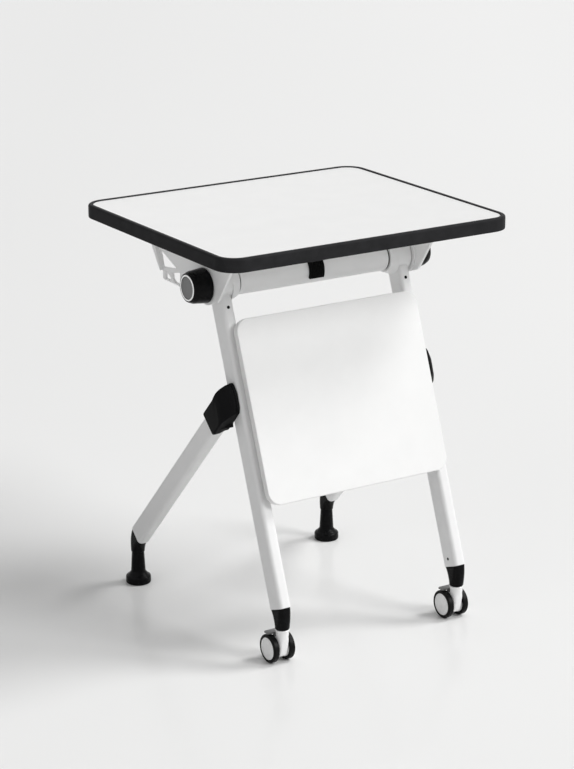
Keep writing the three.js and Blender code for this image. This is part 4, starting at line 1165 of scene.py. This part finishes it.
def glide_foot():
    top = high("glide_foot_right").z
    base, foot, radius = GLIDE["base"], GLIDE["foot"], GLIDE["radius"]
    bore_end = top - GLIDE_BORE["depth"]
    return moved(turned(rounded([
        (0, 0, 0),
        (0, radius, GLIDE_ROUNDS["floor"]),
        (base, radius, GLIDE_ROUNDS["base"]),
        (base + GLIDE["flare"] / 3, (radius + foot) / 2, GLIDE_ROUNDS["flare"]),
        (base + GLIDE["flare"], foot, GLIDE_ROUNDS["foot"]),
        (top, GLIDE["head"], GLIDE_ROUNDS["head"]),
        (top, GLIDE_BORE["radius"], 0),
        (bore_end, GLIDE_BORE["radius"], 0),
        (bore_end, 0, 0),
    ], closed=False)), UPRIGHT)


glide_middle = middle("glide_foot_right")
at_glide = shift(glide_middle.x, glide_middle.y)
end_pieces("glide_foot_{side}", moved(glide_foot(), at_glide), "black_plastic", "glide_{side}")

# Camera, fitted to the photograph's straight edges
IMAGE_LONG_SIDE = 769
FOCAL_PIXELS = 2467.5
SHIFT_PIXELS = (-7.956, 9.196)
SENSOR = 36
CAMERA_AZIMUTH = math.radians(-32.686)
CAMERA_ELEVATION = math.radians(17.604)
CAMERA_DISTANCE = 4.5552
CAMERA_TARGET = Vector((0, middle("edge_band").y, 0.400))


def outward(azimuth, elevation):
    """A direction away from the object: azimuth 0 is towards -Y, and it turns towards +X."""
    level_part = math.cos(elevation)
    return Vector((math.sin(azimuth) * level_part, -math.cos(azimuth) * level_part, math.sin(elevation)))


def aimed(obj, place, target):
    obj.location = place
    obj.rotation_euler = (target - place).to_track_quat("-Z", "Y").to_euler()
    bpy.context.scene.collection.objects.link(obj)


camera_data = bpy.data.cameras.new("camera")
camera_data.sensor_width = SENSOR
camera_data.lens = FOCAL_PIXELS * SENSOR / IMAGE_LONG_SIDE
camera_data.shift_x, camera_data.shift_y = (pixels / IMAGE_LONG_SIDE for pixels in SHIFT_PIXELS)
camera = bpy.data.objects.new("camera", camera_data)
aimed(camera, CAMERA_TARGET + CAMERA_DISTANCE * outward(CAMERA_AZIMUTH, CAMERA_ELEVATION), CAMERA_TARGET)
bpy.context.scene.camera = camera

# Floor and light: lamp angles in degrees, and a painted shade that lowers the floor's tone towards the picture's
# left within a reach of the middle
FLOOR_HALF = 20
FLOOR_COLOUR = (0.89, 0.89, 0.885)
FLOOR_PAINTED_SHADE = {"share": 0.08, "reach": 0.9}
FLOOR_MOTTLE = {"share": 0.006, "scale": 2}
FLOOR_GLOSS = {"roughness": 0.20, "specular": 0.13}
SKY = {"horizon": 0.05, "overhead": 0.48}
BACKGROUND = 0.85
KEY = {"azimuth": 71, "elevation": 49, "spread": 19, "strength": 0.46}
SIDE = {"azimuth": -76, "elevation": 28, "spread": 40, "strength": 0.07}
FILL = {"azimuth": 33, "elevation": 35, "spread": 24, "strength": 0.47}


def floor_material():
    """A pale floor with a faint mottle, and painted shade that makes it a little darker towards the picture's
    left.
    """
    look = bpy.data.materials.new("floor")
    look.use_nodes = True
    tree = look.node_tree
    texture = new_node(tree, "TexNoise", {"Scale": FLOOR_MOTTLE["scale"]})
    tint = new_node(tree, "ValToRGB", None, {"Fac": texture.outputs["Fac"]})
    shares = (1 - FLOOR_MOTTLE["share"], 1 + FLOOR_MOTTLE["share"])
    for stop, share in zip(tint.color_ramp.elements, shares):
        stop.color = (*(share * value for value in FLOOR_COLOUR), 1)
    place = new_node(tree, "TexCoord").outputs["Object"]
    # Painted shade: the floor's colour is scaled down by a share towards the picture's left, deepening the shadow
    # there
    picture_right = outward(CAMERA_AZIMUTH + math.pi / 2, 0)
    across = new_node(tree, "VectorMath", {1: picture_right}, {0: place}, "DOT_PRODUCT")
    painted_shade = new_node(tree, "MapRange", {
        "From Min": -FLOOR_PAINTED_SHADE["reach"],
        "From Max": FLOOR_PAINTED_SHADE["reach"],
        "To Min": 1 - FLOOR_PAINTED_SHADE["share"],
        "To Max": 1,
    }, {"Value": across.outputs["Value"]})
    tone = {0: tint.outputs["Color"], "Scale": painted_shade.outputs["Result"]}
    shaded_floor_colour = new_node(tree, "VectorMath", None, tone, "SCALE")
    feed(tree, tree.nodes["Principled BSDF"], {
        "Roughness": FLOOR_GLOSS["roughness"],
        "Specular IOR Level": FLOOR_GLOSS["specular"],
    }, {"Base Color": shaded_floor_colour.outputs["Vector"]})
    return look


def floor_plane():
    corners = [(-1, -1), (1, -1), (1, 1), (-1, 1)]
    mesh = bpy.data.meshes.new("floor")
    mesh.from_pydata([(FLOOR_HALF * x, FLOOR_HALF * y, 0) for x, y in corners], [], [(0, 1, 2, 3)])
    mesh.materials.append(floor_material())
    made = bpy.data.objects.new("floor", mesh)
    bpy.context.scene.collection.objects.link(made)
    return made


def soft_light(name, settings):
    """A broad distant lamp; strength is the share of white that it gives a surface that faces it."""
    lamp = bpy.data.lights.new(name, "SUN")
    lamp.energy = math.pi * settings["strength"]
    lamp.angle = math.radians(settings["spread"])
    direction = outward(math.radians(settings["azimuth"]), math.radians(settings["elevation"]))
    aimed(bpy.data.objects.new(name, lamp), CAMERA_TARGET + CAMERA_DISTANCE * direction, CAMERA_TARGET)


def studio_world():
    """Light that grows from the horizon upwards, and a pale background that the camera and gloss see."""
    world = bpy.data.worlds.new("studio")
    world.use_nodes = True
    tree = world.node_tree
    white = {"Color": (1, 1, 1, 1)}
    place = new_node(tree, "TexCoord").outputs["Generated"]
    height = new_node(tree, "SeparateXYZ", None, {"Vector": place}).outputs["Z"]
    strengths = {"To Min": SKY["horizon"], "To Max": SKY["overhead"]}
    rise = new_node(tree, "MapRange", strengths, {"Value": height})
    sky = feed(tree, tree.nodes["Background"], white, {"Strength": rise.outputs["Result"]})
    seen = new_node(tree, "Background", {**white, "Strength": BACKGROUND})
    path = new_node(tree, "LightPath").outputs
    either = new_node(tree, "Math", None, {0: path["Is Camera Ray"], 1: path["Is Glossy Ray"]}, "MAXIMUM")
    mix = new_node(tree, "MixShader", None, {
        "Fac": either.outputs["Value"],
        1: sky.outputs["Background"],
        2: seen.outputs["Background"],
    })
    feed(tree, tree.nodes["World Output"], {}, {"Surface": mix.outputs["Shader"]})
    bpy.context.scene.world = world


floor_plane()
soft_light("key", KEY)
soft_light("fill", FILL)
soft_light("side", SIDE)
studio_world()
bpy.context.scene.view_settings.view_transform = "Standard"
